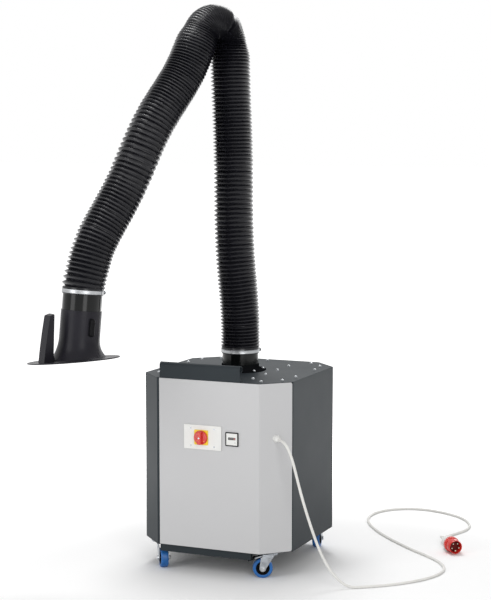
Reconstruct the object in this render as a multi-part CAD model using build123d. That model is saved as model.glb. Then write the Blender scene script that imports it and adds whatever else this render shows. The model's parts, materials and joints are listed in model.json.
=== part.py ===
from build123d import *
import os
from math import atan2, cos, degrees, hypot, radians, sin, sqrt, tan

# Mobile welding fume extractor: an eight-sided filter cabinet on four casters, with a
# jointed extraction arm inside a ribbed hose, and a hood at the arm's end.
# Millimetres, +Z up, front face towards -Y. Everything is modelled about the arm's swivel
# axis with the floor at zero, and moved at the end so that the origin lies on the floor
# under the middle of the object.

# Clearances shared by all pieces
gap = 0.3  # between curved faces that pass each other
hexagon_sides = 6
neighbour_turn = 45.0  # between two neighbouring walls of the cabinet, in degrees
running_gap = 0.06  # radial, pin in its hole
bond_gap = 0.1  # radial, rings pressed or bonded together
reveal = 0.5  # open joint between neighbouring panels
overrun = 5.0  # how far a cut runs past what it cuts

# Cabinet
cabinet_width = 650.0
cabinet_depth = 650.0
cabinet_height = 680.0
corner_chamfer = 102.0
sheet = 2.0
ride_height = 110.0
lip_height = 18.0
panel_left_strip = 10.0  # dark strip left of the light panel
panel_end_margin = 4.0
panel_corner_radius = 8.0
rail_left = -213.0
rail_right = 185.0
rail_width = 18.0
rail_height = 28.0
rail_setback = 5.0

# Handle rail at the top of the front
handle_width = 350.0
handle_left = -210.0
handle_height = 63.0
handle_sheet = 3.0
handle_roll_radius = 14.0
handle_roll_share = 0.78  # part of the full circle that is rolled
handle_foot = 32.0
handle_screw_share = 0.8  # of the half width, out to the end screws
handle_roll_steps = 8
handle_proud = 2.0

# Screws
screw_head_radius = 6.0
screw_head_height = 3.0
top_row_offset = 150.0
top_row_pitch = 127.0
top_row_count = 4
top_row_start = -217.0
side_screw_inset = 37.0
side_screw_reach = 105.0
corner_screw_inset = 48.0
corner_screw_spread = 45.0

# Controls on the front panel
switch_plate_width = 163.0
switch_plate_height = 98.0
switch_plate_thickness = 6.0
switch_plate_x = -19.5
switch_plate_z = 561.0
switch_plate_radius = 3.0
switch_x = -24.5
switch_screw_spacing_x = 101.6
switch_screw_spacing_z = 70.5
switch_screw_radius = 3.4
switch_screw_height = 1.2
escutcheon_size = 60.0
escutcheon_thickness = 3.0
escutcheon_radius = 4.0
knob_radius = 28.5
knob_height = 22.0
knob_base_height = 8.0
knob_grip_width = 17.0
knob_edge_radius = 2.0
knob_shaft_radius = 4.0
switch_body_size = 56.0
switch_body_depth = 62.0
switch_body_slots = 4
meter_x = 107.0
meter_z = 562.0
meter_bezel = 55.0
meter_bezel_thickness = 5.0
meter_bezel_radius = 2.0
meter_body = 44.0
meter_depth = 38.0
meter_face_size = 47.0
meter_face_thickness = 1.5
meter_face_recess = 1.0

# Cable gland
gland_height = 569.0
gland_thread_radius = 10.0
gland_hex_radius = 15.5
gland_hex_height = 9.0
gland_dome_radius = 13.5
gland_dome_height = 20.0
gland_tip_radius = 7.5
gland_nut_height = 6.0

# Swivel on the top plate
collar_radius = 74.0
collar_wall = 2.0
collar_top = 92.0  # above the top plate
flange_radius = 106.0
flange_plate = 6.0
flange_neck_height = 26.0
flange_neck_wall = 3.0
flange_ledge = 5.0
flange_screw_circle = 94.0
flange_screw_count = 6

# Hose
arm_azimuth = 240.0
hose_crest = 82.0
hose_root = 73.5
hose_bore = 71.0
elbow_pinch = 10.0
pinch_run = 70.0  # along each leg, in which the pinch fades
elbow_centre_radius = 74.0
upper_leg_lean = 32.0  # of the upper hose at the elbow, from vertical, in degrees
elbow_height = 1245.0  # from the collar's top to the start of the elbow's arc
elbow_lean = 52.0
hose_end_run = 170.0
elbow_leg_run = 180.0
lower_rib_pitch = 18.0
elbow_rib_pitch = 18.0
upper_rib_pitch = 20.5
end_rib_pitch = 22.5
rib_place_shares = (0.0, 0.28, 0.6, 0.88)
lower_lean_shares = (0.0, 0.07, 0.46, 0.65, 0.67, 0.78, 0.94, 1.0)
lower_rise_shares = (0.0, 0.127, 0.29, 0.456, 0.58, 0.734, 0.882, 1.0)
upper_hose_bow = 39.0
upper_run_shares = (0.0, 0.15, 0.285, 0.36, 0.45, 0.58, 0.72, 0.85, 0.93, 1.0)
upper_bow_shares = (0.0, -0.12, 0.34, 0.62, 0.71, 0.58, 0.76, 0.95, 0.58, 0.0)
cuff_length = 28.0
cuff_wall = 3.6
cuff_lip = 6.0
clamp_width = 14.0
clamp_thickness = 1.2
clamp_inset = 4.0
clamp_housing_length = 24.0
clamp_housing_width = 13.0
clamp_housing_height = 9.0
clamp_screw_radius = 4.0
clamp_screw_length = 34.0
clamp_tail = 16.0
clamp_base_way = -45.0  # bearing of the clamp's screw housing
clamp_hood_way = 75.0

# Arm inside the hose
shoulder_rise = 48.0  # pivot above the collar's top
wrist_rise = 62.0  # pivot above the hood clamp
link_half_angle = 40.0  # of each elbow pivot from the elbow's middle, in degrees
arm_tube_radius = 15.0
arm_tube_wall = 2.0
lug_radius = 17.0
lug_width = 22.0
lug_reach = 34.0
disc_thickness = 2.0
disc_radius = 15.0
fork_plate_thickness = 4.0
fork_plate_width = 34.0
pivot_radius = 6.0
bolt_head_radius = 9.0
bolt_head_height = 5.0
spider_thickness = 5.0

# Hood
hood_reach = 750.0  # of the hood clamp from the swivel axis
hood_clamp_height = 1160.0
hood_tilt = 5.6
sleeve_radius = 76.0
sleeve_wall = 2.0
sleeve_top = 10.0
sleeve_bottom = 128.0
hood_neck_radius = 78.6
hood_neck_top = 73.0
hood_neck_bottom = 180.0
hood_length = 264.0
hood_flare_radius = 110.0
hood_wall = 2.5
brim_radius = 179.0
brim_shift = 19.0
brim_tilt = 6.3  # of the brim against the neck, lower at the fin
brim_side_tilt = 6.3  # of the brim across the arm's plane
flare_sections = 5
brim_thickness = 5.0
brim_edge_radius = 2.0
fin_width = 45.0
fin_outer_drop = 98.0  # of the fin's top below the hood clamp, outer side
fin_inner_drop = 91.0
fin_outer_low = 160.5
fin_outer_high = 148.5
fin_inner_low = 119.0
fin_inner_high = 130.0
fin_top_radius = 6.0
fin_side_share = 0.25  # of the width, past which an edge is at the side
fin_bow = 4.0
web_width = 22.0
web_height = 58.0
web_dip = 26.0
damper_drop = 134.0
damper_spindle_radius = 4.0
damper_blade_radius = 71.0
damper_blade_thickness = 2.0
damper_boss_height = 6.0
damper_knob_length = 69.0
damper_knob_width = 20.0
damper_knob_depth = 15.0
damper_knob_radius = 4.0
damper_knob_clearance = 1.0

# Filters and fan
frame_half_width = 258.0
frame_front = -228.0
frame_rear = 281.0
frame_sheet = 1.5
frame_bottom = 334.0
frame_top = 770.0
rail_leg = 22.0
cell_margin = 4.0
carbon_bottom = 352.0
carbon_height = 62.0
main_bottom = 428.0
main_height = 232.0
trap_bottom = 676.0
trap_height = 50.0
cell_wall = 3.0
trap_layers = 5
trap_layer = 1.5
carbon_layers = 3
carbon_layer = 12.0
pleat_count = 16
duct_length = 26.0
fan_x = 0.0
fan_y = 10.0
fan_plate_thickness = 2.0
cone_radius = 95.0
cone_throat = 78.0
cone_depth = 24.0
scroll_radius = 168.0
scroll_growth = 46.0
scroll_height = 96.0
scroll_sheet = 2.0
outlet_width = 120.0
impeller_radius = 138.0
impeller_height = 62.0
impeller_hub_radius = 26.0
impeller_plate = 3.0
impeller_eye_radius = 84.0
blade_count = 9
blade_start_share = 0.8  # of the eye's radius
blade_thickness = 2.5
blade_sweep = 38.0
impeller_floor = 10.0
motor_radius = 66.0
motor_height = 88.0
motor_flange_radius = 84.0
motor_flange = 8.0
motor_shaft_radius = 9.5
motor_fins = 18
motor_fin_depth = 6.0
motor_fin_width = 3.0
grille_width = 134.0
grille_height = 112.0
grille_thickness = 2.0
grille_slots = 9
grille_slot_height = 6.0
grille_slot_width = 112.0
box_width = 150.0
box_height = 190.0
box_depth = 64.0
box_x = -110.0
box_z = 430.0

# Rear door
door_half_width = 205.0
door_bottom_rise = 235.0  # above the cabinet's floor
door_top_margin = 24.0  # below the cabinet's top
door_overlap = 14.0
door_return = 16.0
seal_gap = 1.0
hinge_radius = 6.0
hinge_pin_radius = 3.0
hinge_length = 60.0
knuckle_count = 3
hinge_offset = 9.0
hinge_leaf = 2.0
hinge_leaf_width = 24.0
hinge_share = 0.14
latch_share = 0.2
latch_inset = 24.0
latch_shaft_radius = 6.0
latch_wing_length = 44.0
latch_wing_width = 10.0
latch_wing_height = 12.0
latch_base_radius = 14.0
latch_base_height = 4.0
latch_tongue_length = 42.0
latch_tongue_width = 14.0
latch_tongue_thickness = 3.0
latch_depth = 12.0

# Casters
caster_reach = 243.0
trail = 36.0
wheel_radius = 40.0
wheel_width = 30.0
hub_radius = 27.0
hub_width = 34.0
hub_recess = 4.0
hub_recess_inner = 11.0
hub_recess_outer = 23.0
tyre_edge_radius = 5.0
caster_plate = 70.0
caster_plate_thickness = 3.0
caster_plate_radius = 10.0
caster_bolt_offset = 26.0
caster_bolt_radius = 6.5
caster_bolt_height = 5.0
race_radius = 24.0
race_height = 8.0
fork_sheet = 3.0
fork_inner = 37.0
fork_head_radius = 25.0
fork_cheek_reach = 44.0  # of a cheek's upper corner past the king pin
fork_cheek_drop = 14.0  # of that corner below the fork's top
fork_end_radius = 13.0
king_pin_radius = 6.0
king_head_radius = 9.0
king_head_height = 4.0
axle_radius = 5.0
axle_nut_radius = 8.0
axle_nut_height = 5.0
pedal_width = 28.0
pedal_thickness = 5.0
pedal_start = 31.0
pedal_length = 66.0
pedal_slope = 17.0
pedal_height = 91.0
pedal_pin_radius = 2.5
pedal_eye_radius = 4.0
pedal_ear_reach = 5.0  # of the fork's ears past the pin
pedal_ear_drop = 7.5  # of the ears below the pin
braked_casters = ("front_right", "rear_left")
caster_headings = {
    "front_left": 305.0,
    "front_right": 203.5,
    "rear_left": 35.0,
    "rear_right": 101.0,
}

# Mains cord and plug
cord_radius = 5.5
plug_front = (819.0, 381.0)
plug_axis_x = 0.6
plug_axis_y = -0.8
plug_shroud_radius = 28.0
plug_shroud_wall = 3.0
plug_shroud_length = 42.0
plug_ring_radius = 33.0
plug_ring_length = 20.0
plug_body_radius = 29.0
plug_body_end_radius = 23.0
plug_body_length = 50.0
plug_nut_radius = 17.0
plug_nut_length = 28.0
plug_nut_end_radius = 12.0
plug_pin_radius = 2.5
plug_earth_radius = 3.0
plug_pin_circle = 16.0
plug_pin_setback = 4.0
plug_pin_count = 5
arc_share = 0.45

# Places worked out from the sizes above
cabinet_top = ride_height + cabinet_height
half_width = cabinet_width / 2
half_depth = cabinet_depth / 2
collar_end = cabinet_top + collar_top
door_bottom = ride_height + door_bottom_rise
door_top = cabinet_top - door_top_margin
panel_left = -(half_width - corner_chamfer) + panel_left_strip
front_y = -half_depth
rear_y = half_depth
plug_radius = plug_ring_radius
plug_length = plug_shroud_length + plug_ring_length + plug_body_length + plug_nut_length
low = (Align.CENTER, Align.CENTER, Align.MIN)
corner = (Align.MIN, Align.MIN, Align.MIN)


def block(x0, x1, y0, y1, z0, z1):
    """Rectangular block between two opposite corners."""
    return Pos(x0, y0, z0) * Box(x1 - x0, y1 - y0, z1 - z0, align=corner)


def disc(radius, height, x=0.0, y=0.0, z=0.0):
    """Upright round disc or bar standing at a point."""
    return Pos(x, y, z) * Cylinder(radius, height, align=low)


def tube(outer, inner, height, x=0.0, y=0.0, z=0.0):
    """Upright ring or tube standing at a point."""
    hole = disc(inner, height + 2 * overrun, x, y, z - overrun)
    return disc(outer, height, x, y, z) - hole


def rod(start, end, radius):
    """Round bar between two points."""
    first = Vector(*start)
    axis = Vector(*end) - first
    bar = Cylinder(radius, axis.length, align=low)
    return Plane(origin=first, z_dir=axis) * bar


def prism(points, height, z=0.0):
    """Upright prism over an outline given in plan."""
    outline = make_face(Polyline(*points, close=True))
    return Pos(0, 0, z) * extrude(outline, amount=height)


def turned(points):
    """Body of revolution about Z from (radius, height) points."""
    outline = make_face(Polyline(*[(r, 0, z) for r, z in points], close=True))
    return revolve(outline, Axis.Z)


def side_plate(points, width):
    """Plate with an outline in the XZ plane, centred on Y."""
    outline = make_face(Polyline(*[(x, 0, z) for x, z in points], close=True))
    return extrude(outline, amount=width / 2, both=True)


def solids_of(*shapes):
    """One node that holds several separate solids."""
    return Compound([solid for shape in shapes for solid in shape.solids()])


def octagon(inset):
    """Plan outline of the cabinet, drawn in by inset all round."""
    w = half_width - inset
    d = half_depth - inset
    c = corner_chamfer - inset * (2 - sqrt(2))
    return [
        (w - c, -d),
        (w, c - d),
        (w, d - c),
        (w - c, d),
        (c - w, d),
        (-w, d - c),
        (-w, c - d),
        (c - w, -d),
    ]


def octagon_ring(inset, height, z):
    """Upright eight-sided wall of one sheet thickness."""
    outer = prism(octagon(inset), height, z)
    return outer - prism(octagon(inset + sheet), height + 2 * overrun, z - overrun)


def panel_strip(outside, inside, extra):
    """Plan outline of the light front panel between two offsets from the outer face."""
    along = 1 / sqrt(2)
    bend = tan(radians(neighbour_turn / 2))
    end_x = half_width - (panel_end_margin - extra) * along
    end_y = corner_chamfer - half_depth - (panel_end_margin - extra) * along
    points = []
    for offset in (outside, inside):
        row = [
            (panel_left - extra, offset - half_depth),
            (half_width - corner_chamfer - offset * bend, offset - half_depth),
            (end_x - offset * along, end_y + offset * along),
        ]
        points.append(row)
    return points[0] + points[1][::-1]


# Cabinet pieces


def base_frame():
    """Base plate with an upstand, and the two rails under it."""
    plate = prism(octagon(0), sheet, ride_height - sheet)
    tray = plate + octagon_ring(sheet + reveal, lip_height, ride_height)
    rails = []
    for side, left in ((-1, rail_left), (1, -rail_right)):
        middle = side * (half_depth - rail_setback - rail_width / 2)
        base = ride_height - sheet
        outer = block(
            left,
            rail_right,
            middle - rail_width / 2,
            middle + rail_width / 2,
            base - rail_height,
            base,
        )
        inner = block(
            left - overrun,
            rail_right + overrun,
            middle - rail_width / 2 + sheet,
            middle + rail_width / 2 - sheet,
            base - rail_height + sheet,
            base - sheet,
        )
        rails.append(outer - inner)
    return solids_of(tray, *rails)


def cabinet_wrap():
    """Dark sides, corners and rear, with the door and exhaust openings."""
    wall_height = cabinet_height - sheet
    wrap = octagon_ring(0, wall_height, ride_height)
    front = prism(
        panel_strip(-overrun, sheet + overrun, reveal), wall_height + 2 * overrun
    )
    wrap -= Pos(0, 0, ride_height - overrun) * front
    wrap -= block(
        door_overlap - door_half_width,
        door_half_width - door_overlap,
        rear_y - sheet - overrun,
        rear_y + overrun,
        door_bottom + door_overlap,
        door_top - door_overlap,
    )
    middle_x, middle_z = outlet_middle()
    wrap -= block(
        middle_x - outlet_width / 2,
        middle_x + outlet_width / 2,
        rear_y - sheet - overrun,
        rear_y + overrun,
        middle_z - scroll_height / 2,
        middle_z + scroll_height / 2,
    )
    return wrap


def front_panel():
    """Light panel on the front and round the right front corner."""
    wall_height = cabinet_height - sheet
    panel = prism(panel_strip(0, sheet, 0), wall_height, ride_height)
    ends = panel.edges().filter_by(Axis((0, 0, 0), (-1, 1, 0)))
    panel = fillet(ends, panel_corner_radius)
    hole = switch_body_size / 2 + reveal
    panel -= block(
        switch_x - hole,
        switch_x + hole,
        front_y - overrun,
        front_y + sheet + overrun,
        switch_plate_z - hole,
        switch_plate_z + hole,
    )
    hole = meter_body / 2 + reveal
    panel -= block(
        meter_x - hole,
        meter_x + hole,
        front_y - overrun,
        front_y + sheet + overrun,
        meter_z - hole,
        meter_z + hole,
    )
    drill = Cylinder(gland_thread_radius + gap, 2 * (sheet + overrun))
    return panel - gland_plane() * drill


def top_plate():
    """Top plate with its turned-down edge and the arm's opening."""
    plate = prism(octagon(0), sheet, cabinet_top - sheet)
    plate += octagon_ring(
        sheet + reveal, lip_height, cabinet_top - sheet - lip_height
    )
    hole = collar_radius - flange_ledge
    return plate - disc(hole, sheet + 2 * overrun, z=cabinet_top - sheet - overrun)


def handle_rail():
    """Upright sheet at the top of the front, its edge rolled back, on a screwed foot."""
    left = handle_left
    right = handle_left + handle_width
    face = front_y - handle_proud
    height = handle_height - handle_roll_radius
    upright = block(
        left, right, face, face + handle_sheet, cabinet_top, cabinet_top + height
    )
    foot = block(
        left,
        right,
        face + handle_sheet,
        face + handle_foot,
        cabinet_top,
        cabinet_top + handle_sheet,
    )
    middle = (left, face + handle_roll_radius, cabinet_top + height)
    sweep_angle = 360 * handle_roll_share
    section = Plane(origin=middle, z_dir=(1, 0, 0), x_dir=(0, -1, 0))
    pie = [(0.0, 0.0)]
    for step in range(handle_roll_steps + 1):
        turn = radians(sweep_angle * step / handle_roll_steps)
        reach = 2 * handle_roll_radius
        pie.append((-reach * cos(turn), reach * sin(turn)))
    ring = Circle(handle_roll_radius) - Circle(handle_roll_radius - handle_sheet)
    sector = make_face(Polyline(*[(-x, -y) for x, y in pie], close=True))
    roll = section * extrude(ring & sector, amount=handle_width)
    return upright + foot + roll


def screw_head(x, y, z):
    """Low button head of a screw, its axis upright."""
    return disc(screw_head_radius, screw_head_height, x, y, z)


def corner_places(side_x, side_y):
    """Two screw places along a corner of the top plate."""
    along = 1 / sqrt(2)
    reach = half_width - corner_chamfer / 2 - corner_screw_inset * along
    spread = corner_screw_spread * along
    return [
        (side_x * (reach + spread), side_y * (reach - spread)),
        (side_x * (reach - spread), side_y * (reach + spread)),
    ]


def cabinet_screws():
    """Screws of the top plate, swivel foot, handle, switch plate and casters."""
    places = []
    for side in (-1, 1):
        places += [
            (side * top_row_offset, top_row_start + top_row_pitch * i)
            for i in range(top_row_count)
        ]
        for side_y in (-1, 1):
            places += corner_places(side, side_y)
        edge = half_width - side_screw_inset
        places += [(side * edge, -side_screw_reach), (side * edge, side_screw_reach)]
    places.append((0.0, half_depth - side_screw_inset))
    row = handle_left + handle_width / 2
    foot_y = front_y - handle_proud + handle_sheet + handle_foot / 2
    heads = [
        screw_head(x, y, cabinet_top)
        for x, y in places
        if not covered_by_handle(x, y)
    ]
    for i in (-1, 0, 1):
        x = row + i * handle_width / 2 * handle_screw_share
        heads.append(screw_head(x, foot_y, cabinet_top + handle_sheet))
    for i in range(flange_screw_count):
        turn = radians(360 * (i + 0.5) / flange_screw_count)
        heads.append(
            screw_head(
                flange_screw_circle * cos(turn),
                flange_screw_circle * sin(turn),
                cabinet_top + flange_plate / 2,
            )
        )
    for name in caster_headings:
        heads += caster_bolts(name)
    for i in (-1, 1):
        for j in (-1, 1):
            x = switch_plate_x + i * switch_screw_spacing_x / 2
            z = switch_plate_z + j * switch_screw_spacing_z / 2
            face = front_y - switch_plate_thickness
            heads.append(
                rod((x, face, z), (x, face - switch_screw_height, z), switch_screw_radius)
            )
    return solids_of(*heads)


def covered_by_handle(x, y):
    """True where the handle's foot lies on the top plate."""
    reach = handle_foot + screw_head_radius
    return y < front_y + reach and handle_left < x < handle_left + handle_width


# Controls


def switch_plate():
    """White plate behind the main switch."""
    plate = Pos(switch_plate_x, front_y, switch_plate_z) * Box(
        switch_plate_width,
        switch_plate_thickness,
        switch_plate_height,
        align=(Align.CENTER, Align.MAX, Align.CENTER),
    )
    plate = fillet(plate.edges().filter_by(Axis.Y), switch_plate_radius)
    hole = rod(
        (switch_x, front_y + overrun, switch_plate_z),
        (switch_x, front_y - switch_plate_thickness - overrun, switch_plate_z),
        knob_shaft_radius + gap,
    )
    return plate - hole


def escutcheon():
    """Yellow square plate under the knob."""
    face = front_y - switch_plate_thickness
    plate = Pos(switch_x, face, switch_plate_z) * Box(
        escutcheon_size,
        escutcheon_thickness,
        escutcheon_size,
        align=(Align.CENTER, Align.MAX, Align.CENTER),
    )
    plate = fillet(plate.edges().filter_by(Axis.Y), escutcheon_radius)
    hole = rod(
        (switch_x, face + overrun, switch_plate_z),
        (switch_x, face - escutcheon_thickness - overrun, switch_plate_z),
        knob_shaft_radius + gap,
    )
    return plate - hole


def switch_knob():
    """Red rotary knob: round base, raised grip bar and its shaft."""
    face = front_y - switch_plate_thickness - escutcheon_thickness - gap
    place = Plane(origin=(switch_x, face, switch_plate_z), z_dir=(0, -1, 0), x_dir=(1, 0, 0))
    base = Cylinder(knob_radius, knob_base_height, align=low)
    base = chamfer(base.edges().group_by(Axis.Z)[-1], knob_edge_radius)
    grip = Box(knob_grip_width, 2 * knob_radius, knob_height, align=low)
    grip = grip & Cylinder(knob_radius - knob_edge_radius, knob_height, align=low)
    grip = chamfer(grip.edges().group_by(Axis.Z)[-1], knob_edge_radius)
    reach = switch_plate_thickness + escutcheon_thickness + gap - running_gap
    shaft = Cylinder(knob_shaft_radius, reach, align=(Align.CENTER, Align.CENTER, Align.MAX))
    return place * (base + grip + shaft)


def switch_body():
    """Cam switch behind the panel, with two rows of terminals."""
    half = switch_body_size / 2
    body = block(
        switch_x - half,
        switch_x + half,
        front_y + bond_gap,
        front_y + switch_body_depth,
        switch_plate_z - half,
        switch_plate_z + half,
    )
    step = switch_body_depth / (switch_body_slots + 1)
    for i in range(switch_body_slots):
        y = front_y + step * (i + 1)
        for side in (-1, 1):
            notch = Pos(switch_x + side * half, y, switch_plate_z) * Box(
                step / 2, step / 2, switch_body_size + 2 * overrun
            )
            body -= notch
    return body


def hour_meter_case():
    """Black square bezel with the counter's body behind the panel."""
    bezel = Pos(meter_x, front_y, meter_z) * Box(
        meter_bezel,
        meter_bezel_thickness,
        meter_bezel,
        align=(Align.CENTER, Align.MAX, Align.CENTER),
    )
    bezel = fillet(bezel.edges().filter_by(Axis.Y), meter_bezel_radius)
    half = meter_body / 2
    body = block(
        meter_x - half,
        meter_x + half,
        front_y - bond_gap,
        front_y + meter_depth,
        meter_z - half,
        meter_z + half,
    )
    face = front_y - meter_bezel_thickness
    recess = Pos(meter_x, face, meter_z) * Box(
        meter_face_size + 2 * bond_gap,
        meter_face_thickness + meter_face_recess,
        meter_face_size + 2 * bond_gap,
        align=(Align.CENTER, Align.MIN, Align.CENTER),
    )
    return bezel + body - recess


def hour_meter_face():
    """White face of the counter, set in the bezel."""
    return Pos(meter_x, front_y - meter_bezel_thickness + meter_face_recess, meter_z) * Box(
        meter_face_size,
        meter_face_thickness,
        meter_face_size,
        align=(Align.CENTER, Align.MIN, Align.CENTER),
    )


def gland_plane():
    """Plane on the light panel's corner face, at the cable gland."""
    middle = half_width - corner_chamfer / 2
    return Plane(origin=(middle, -middle, gland_height), z_dir=(1, -1, 0), x_dir=(1, 1, 0))


def cable_gland():
    """Nylon gland: hexagon, tapered dome nut, thread and lock nut, bored for the cord."""
    hexagon = extrude(RegularPolygon(gland_hex_radius, hexagon_sides), amount=gland_hex_height)
    dome = turned(
        [
            (0, gland_hex_height),
            (gland_dome_radius, gland_hex_height),
            (gland_dome_radius, gland_hex_height + gland_dome_height / 2),
            (gland_tip_radius, gland_hex_height + gland_dome_height),
            (0, gland_hex_height + gland_dome_height),
        ]
    )
    inner_length = sheet + 2 * gland_nut_height
    thread = Pos(0, 0, -inner_length) * Cylinder(gland_thread_radius, inner_length, align=low)
    nut = Pos(0, 0, -sheet - gland_nut_height) * extrude(
        RegularPolygon(gland_hex_radius, hexagon_sides), amount=gland_nut_height
    )
    length = gland_hex_height + gland_dome_height + inner_length
    bore = Pos(0, 0, -inner_length - overrun) * Cylinder(
        cord_radius + gap, length - gland_dome_height / 2 + overrun, align=low
    )
    return gland_plane() * (hexagon + dome + thread + nut - bore)


# Swivel, arm and hose


def swivel_flange():
    """Bolted foot ring with a short neck that carries the turning collar."""
    neck = collar_radius + running_gap
    ledge = collar_radius - flange_ledge
    top = cabinet_top + flange_neck_height
    outer = neck + flange_neck_wall
    return turned(
        [
            (ledge, cabinet_top),
            (flange_radius, cabinet_top),
            (flange_radius, cabinet_top + flange_plate / 2),
            (outer + flange_neck_wall, cabinet_top + flange_plate),
            (outer, cabinet_top + flange_neck_height / 2),
            (outer, top),
            (neck, top),
            (neck, cabinet_top + flange_plate),
            (ledge, cabinet_top + flange_plate),
        ]
    ) - flange_seats()


def flange_seats():
    """Flats under the foot's screw heads."""
    seats = []
    for i in range(flange_screw_count):
        turn = radians(360 * (i + 0.5) / flange_screw_count)
        seats.append(
            disc(
                screw_head_radius + bond_gap,
                overrun,
                flange_screw_circle * cos(turn),
                flange_screw_circle * sin(turn),
                cabinet_top + flange_plate / 2,
            )
        )
    return seats


def collar_tube():
    """Turning collar that the hose is clamped to."""
    base = cabinet_top + flange_plate
    return tube(collar_radius, collar_radius - collar_wall, collar_end - base, z=base)


def arm_turn(shape):
    """Turns a shape from the arm's own plane, XZ, to the arm's direction."""
    return Rot(0, 0, arm_azimuth) * shape


def elbow_middle():
    """Centre of the elbow's arc, in the arm's plane."""
    return elbow_lean + elbow_centre_radius, collar_end + elbow_height


def elbow_point(angle, radius=elbow_centre_radius):
    """Point at an angle round the elbow's centre, in the arm's plane."""
    x, z = elbow_middle()
    return x + radius * cos(radians(angle)), z + radius * sin(radians(angle))


def hose_spans():
    """The hose's centreline: up the lower arm, over the elbow, down to the hood."""
    lower_points = [
        (elbow_lean * a, 0, collar_end + elbow_height * b)
        for a, b in zip(lower_lean_shares, lower_rise_shares)
    ]
    lower = Spline(*lower_points, tangents=((0, 0, 1), (0, 0, 1)))
    start_x, start_z = elbow_point(180)
    top_x, top_z = elbow_point((180 + upper_leg_lean) / 2)
    end_x, end_z = elbow_point(upper_leg_lean)
    arc = ThreePointArc((start_x, 0, start_z), (top_x, 0, top_z), (end_x, 0, end_z))
    run = Vector(hood_reach - end_x, 0, hood_clamp_height - end_z)
    out = Vector(-run.Z, 0, run.X).normalized()
    upper_points = [
        Vector(end_x, 0, end_z) + run * a + out * (upper_hose_bow * b)
        for a, b in zip(upper_run_shares, upper_bow_shares)
    ]
    lean = radians(upper_leg_lean)
    tilt = radians(hood_tilt)
    upper = Spline(
        *upper_points,
        tangents=((sin(lean), 0, -cos(lean)), (sin(tilt), 0, -cos(tilt))),
    )
    return [lower, arc, upper]


hose_line = hose_spans()
hose_lengths = [span.length for span in hose_line]
hose_total = sum(hose_lengths)
elbow_start = hose_lengths[0]
elbow_end = hose_lengths[0] + hose_lengths[1]


def hose_frame(distance):
    """Plane square to the hose at a distance along its centreline."""
    left = distance
    for index, span in enumerate(hose_line):
        if left <= hose_lengths[index] or index == len(hose_line) - 1:
            share = min(1, left / hose_lengths[index])
            return Plane(origin=span @ share, z_dir=span % share, x_dir=(0, 1, 0))
        left -= hose_lengths[index]


def pinch(distance):
    """How far the hose's radius shrinks near the elbow's middle."""
    if elbow_start < distance < elbow_end:
        return elbow_pinch
    away = elbow_start - distance if distance <= elbow_start else distance - elbow_end
    share = max(0, 1 - away / pinch_run)
    return elbow_pinch * share * share * (3 - 2 * share)


def hose_ring(distance, radius):
    """Round section of the hose."""
    return hose_frame(distance) * Circle(radius - pinch(distance))


def ribbed_hose(start, end, pitch):
    """Ribbed stretch of hose with its bore."""
    count = max(1, round((end - start) / pitch))
    step = (end - start) / count
    outside = []
    for i in range(count):
        for share, radius in zip(
            rib_place_shares, (hose_root, hose_crest, hose_crest, hose_root)
        ):
            outside.append(hose_ring(start + (i + share) * step, radius))
    outside.append(hose_ring(end, hose_root))
    inside = [hose_ring(start + i * step, hose_bore) for i in range(count + 1)]
    return loft(outside, ruled=True) - loft(inside, ruled=True)


def hose_cuff(inner):
    """Plain end of the hose over a collar, with a lip that joins the ribbed wall."""
    outer = inner + gap + cuff_wall
    wide = tube(outer, inner + gap, cuff_length - cuff_lip)
    lip_bore = (hose_bore + hose_root) / 2
    return wide + tube(outer, lip_bore, cuff_lip, z=cuff_length - cuff_lip)


cuff_rise = cuff_lip + gap  # the cuff's lip lies just above the collar's rim
rib_start = cuff_rise - cuff_lip / 2
lower_start = hose_end_run
lower_end = elbow_start - elbow_leg_run
upper_start = elbow_end + elbow_leg_run
upper_end = hose_total - hose_end_run


def hose_shoulder():
    """Bending stretch of hose over the shoulder, with its cuff on the collar."""
    cuff = Pos(0, 0, collar_end + cuff_rise - cuff_length) * hose_cuff(collar_radius)
    return arm_turn(cuff + ribbed_hose(rib_start, lower_start, end_rib_pitch))


def hose_wrist():
    """Bending stretch of hose over the wrist, with its cuff on the hood's sleeve."""
    rise = sleeve_top + cuff_rise
    cuff = hood_frame() * (Pos(0, 0, rise - cuff_length) * hose_cuff(sleeve_radius))
    ribs = ribbed_hose(upper_end, hose_total - sleeve_top - rib_start, end_rib_pitch)
    return arm_turn(cuff + ribs)


def worm_clamp(inner, way):
    """Steel band with its screw housing and a short free end, standing on Z."""
    band_inner = inner + 2 * gap + cuff_wall
    outer = band_inner + clamp_thickness
    band = tube(outer, band_inner, clamp_width)
    middle = clamp_width / 2
    housing = Pos(0, outer + clamp_housing_height / 2 - bond_gap, middle) * Box(
        clamp_housing_length, clamp_housing_height, clamp_housing_width
    )
    screw = rod(
        (-clamp_screw_length / 2, outer + clamp_housing_height / 2, middle),
        (clamp_screw_length / 2, outer + clamp_housing_height / 2, middle),
        clamp_screw_radius,
    )
    tail = block(
        clamp_housing_length / 2,
        clamp_housing_length / 2 + clamp_tail,
        outer,
        outer + clamp_thickness,
        0,
        clamp_width,
    )
    return Rot(0, 0, way) * (band + housing + screw + tail)


def hose_clamp_base():
    """Worm clamp at the collar."""
    base = collar_end + cuff_rise - cuff_length + clamp_inset
    return Pos(0, 0, base) * worm_clamp(collar_radius, clamp_base_way)


def hose_clamp_hood():
    """Worm clamp at the hood."""
    base = sleeve_top + cuff_rise - cuff_length + clamp_inset
    clamp = Pos(0, 0, base) * worm_clamp(sleeve_radius, clamp_hood_way)
    return arm_turn(hood_frame() * clamp)




def shoulder_pivot():
    """Shoulder hinge, in the arm's plane."""
    return 0.0, collar_end + shoulder_rise


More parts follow.
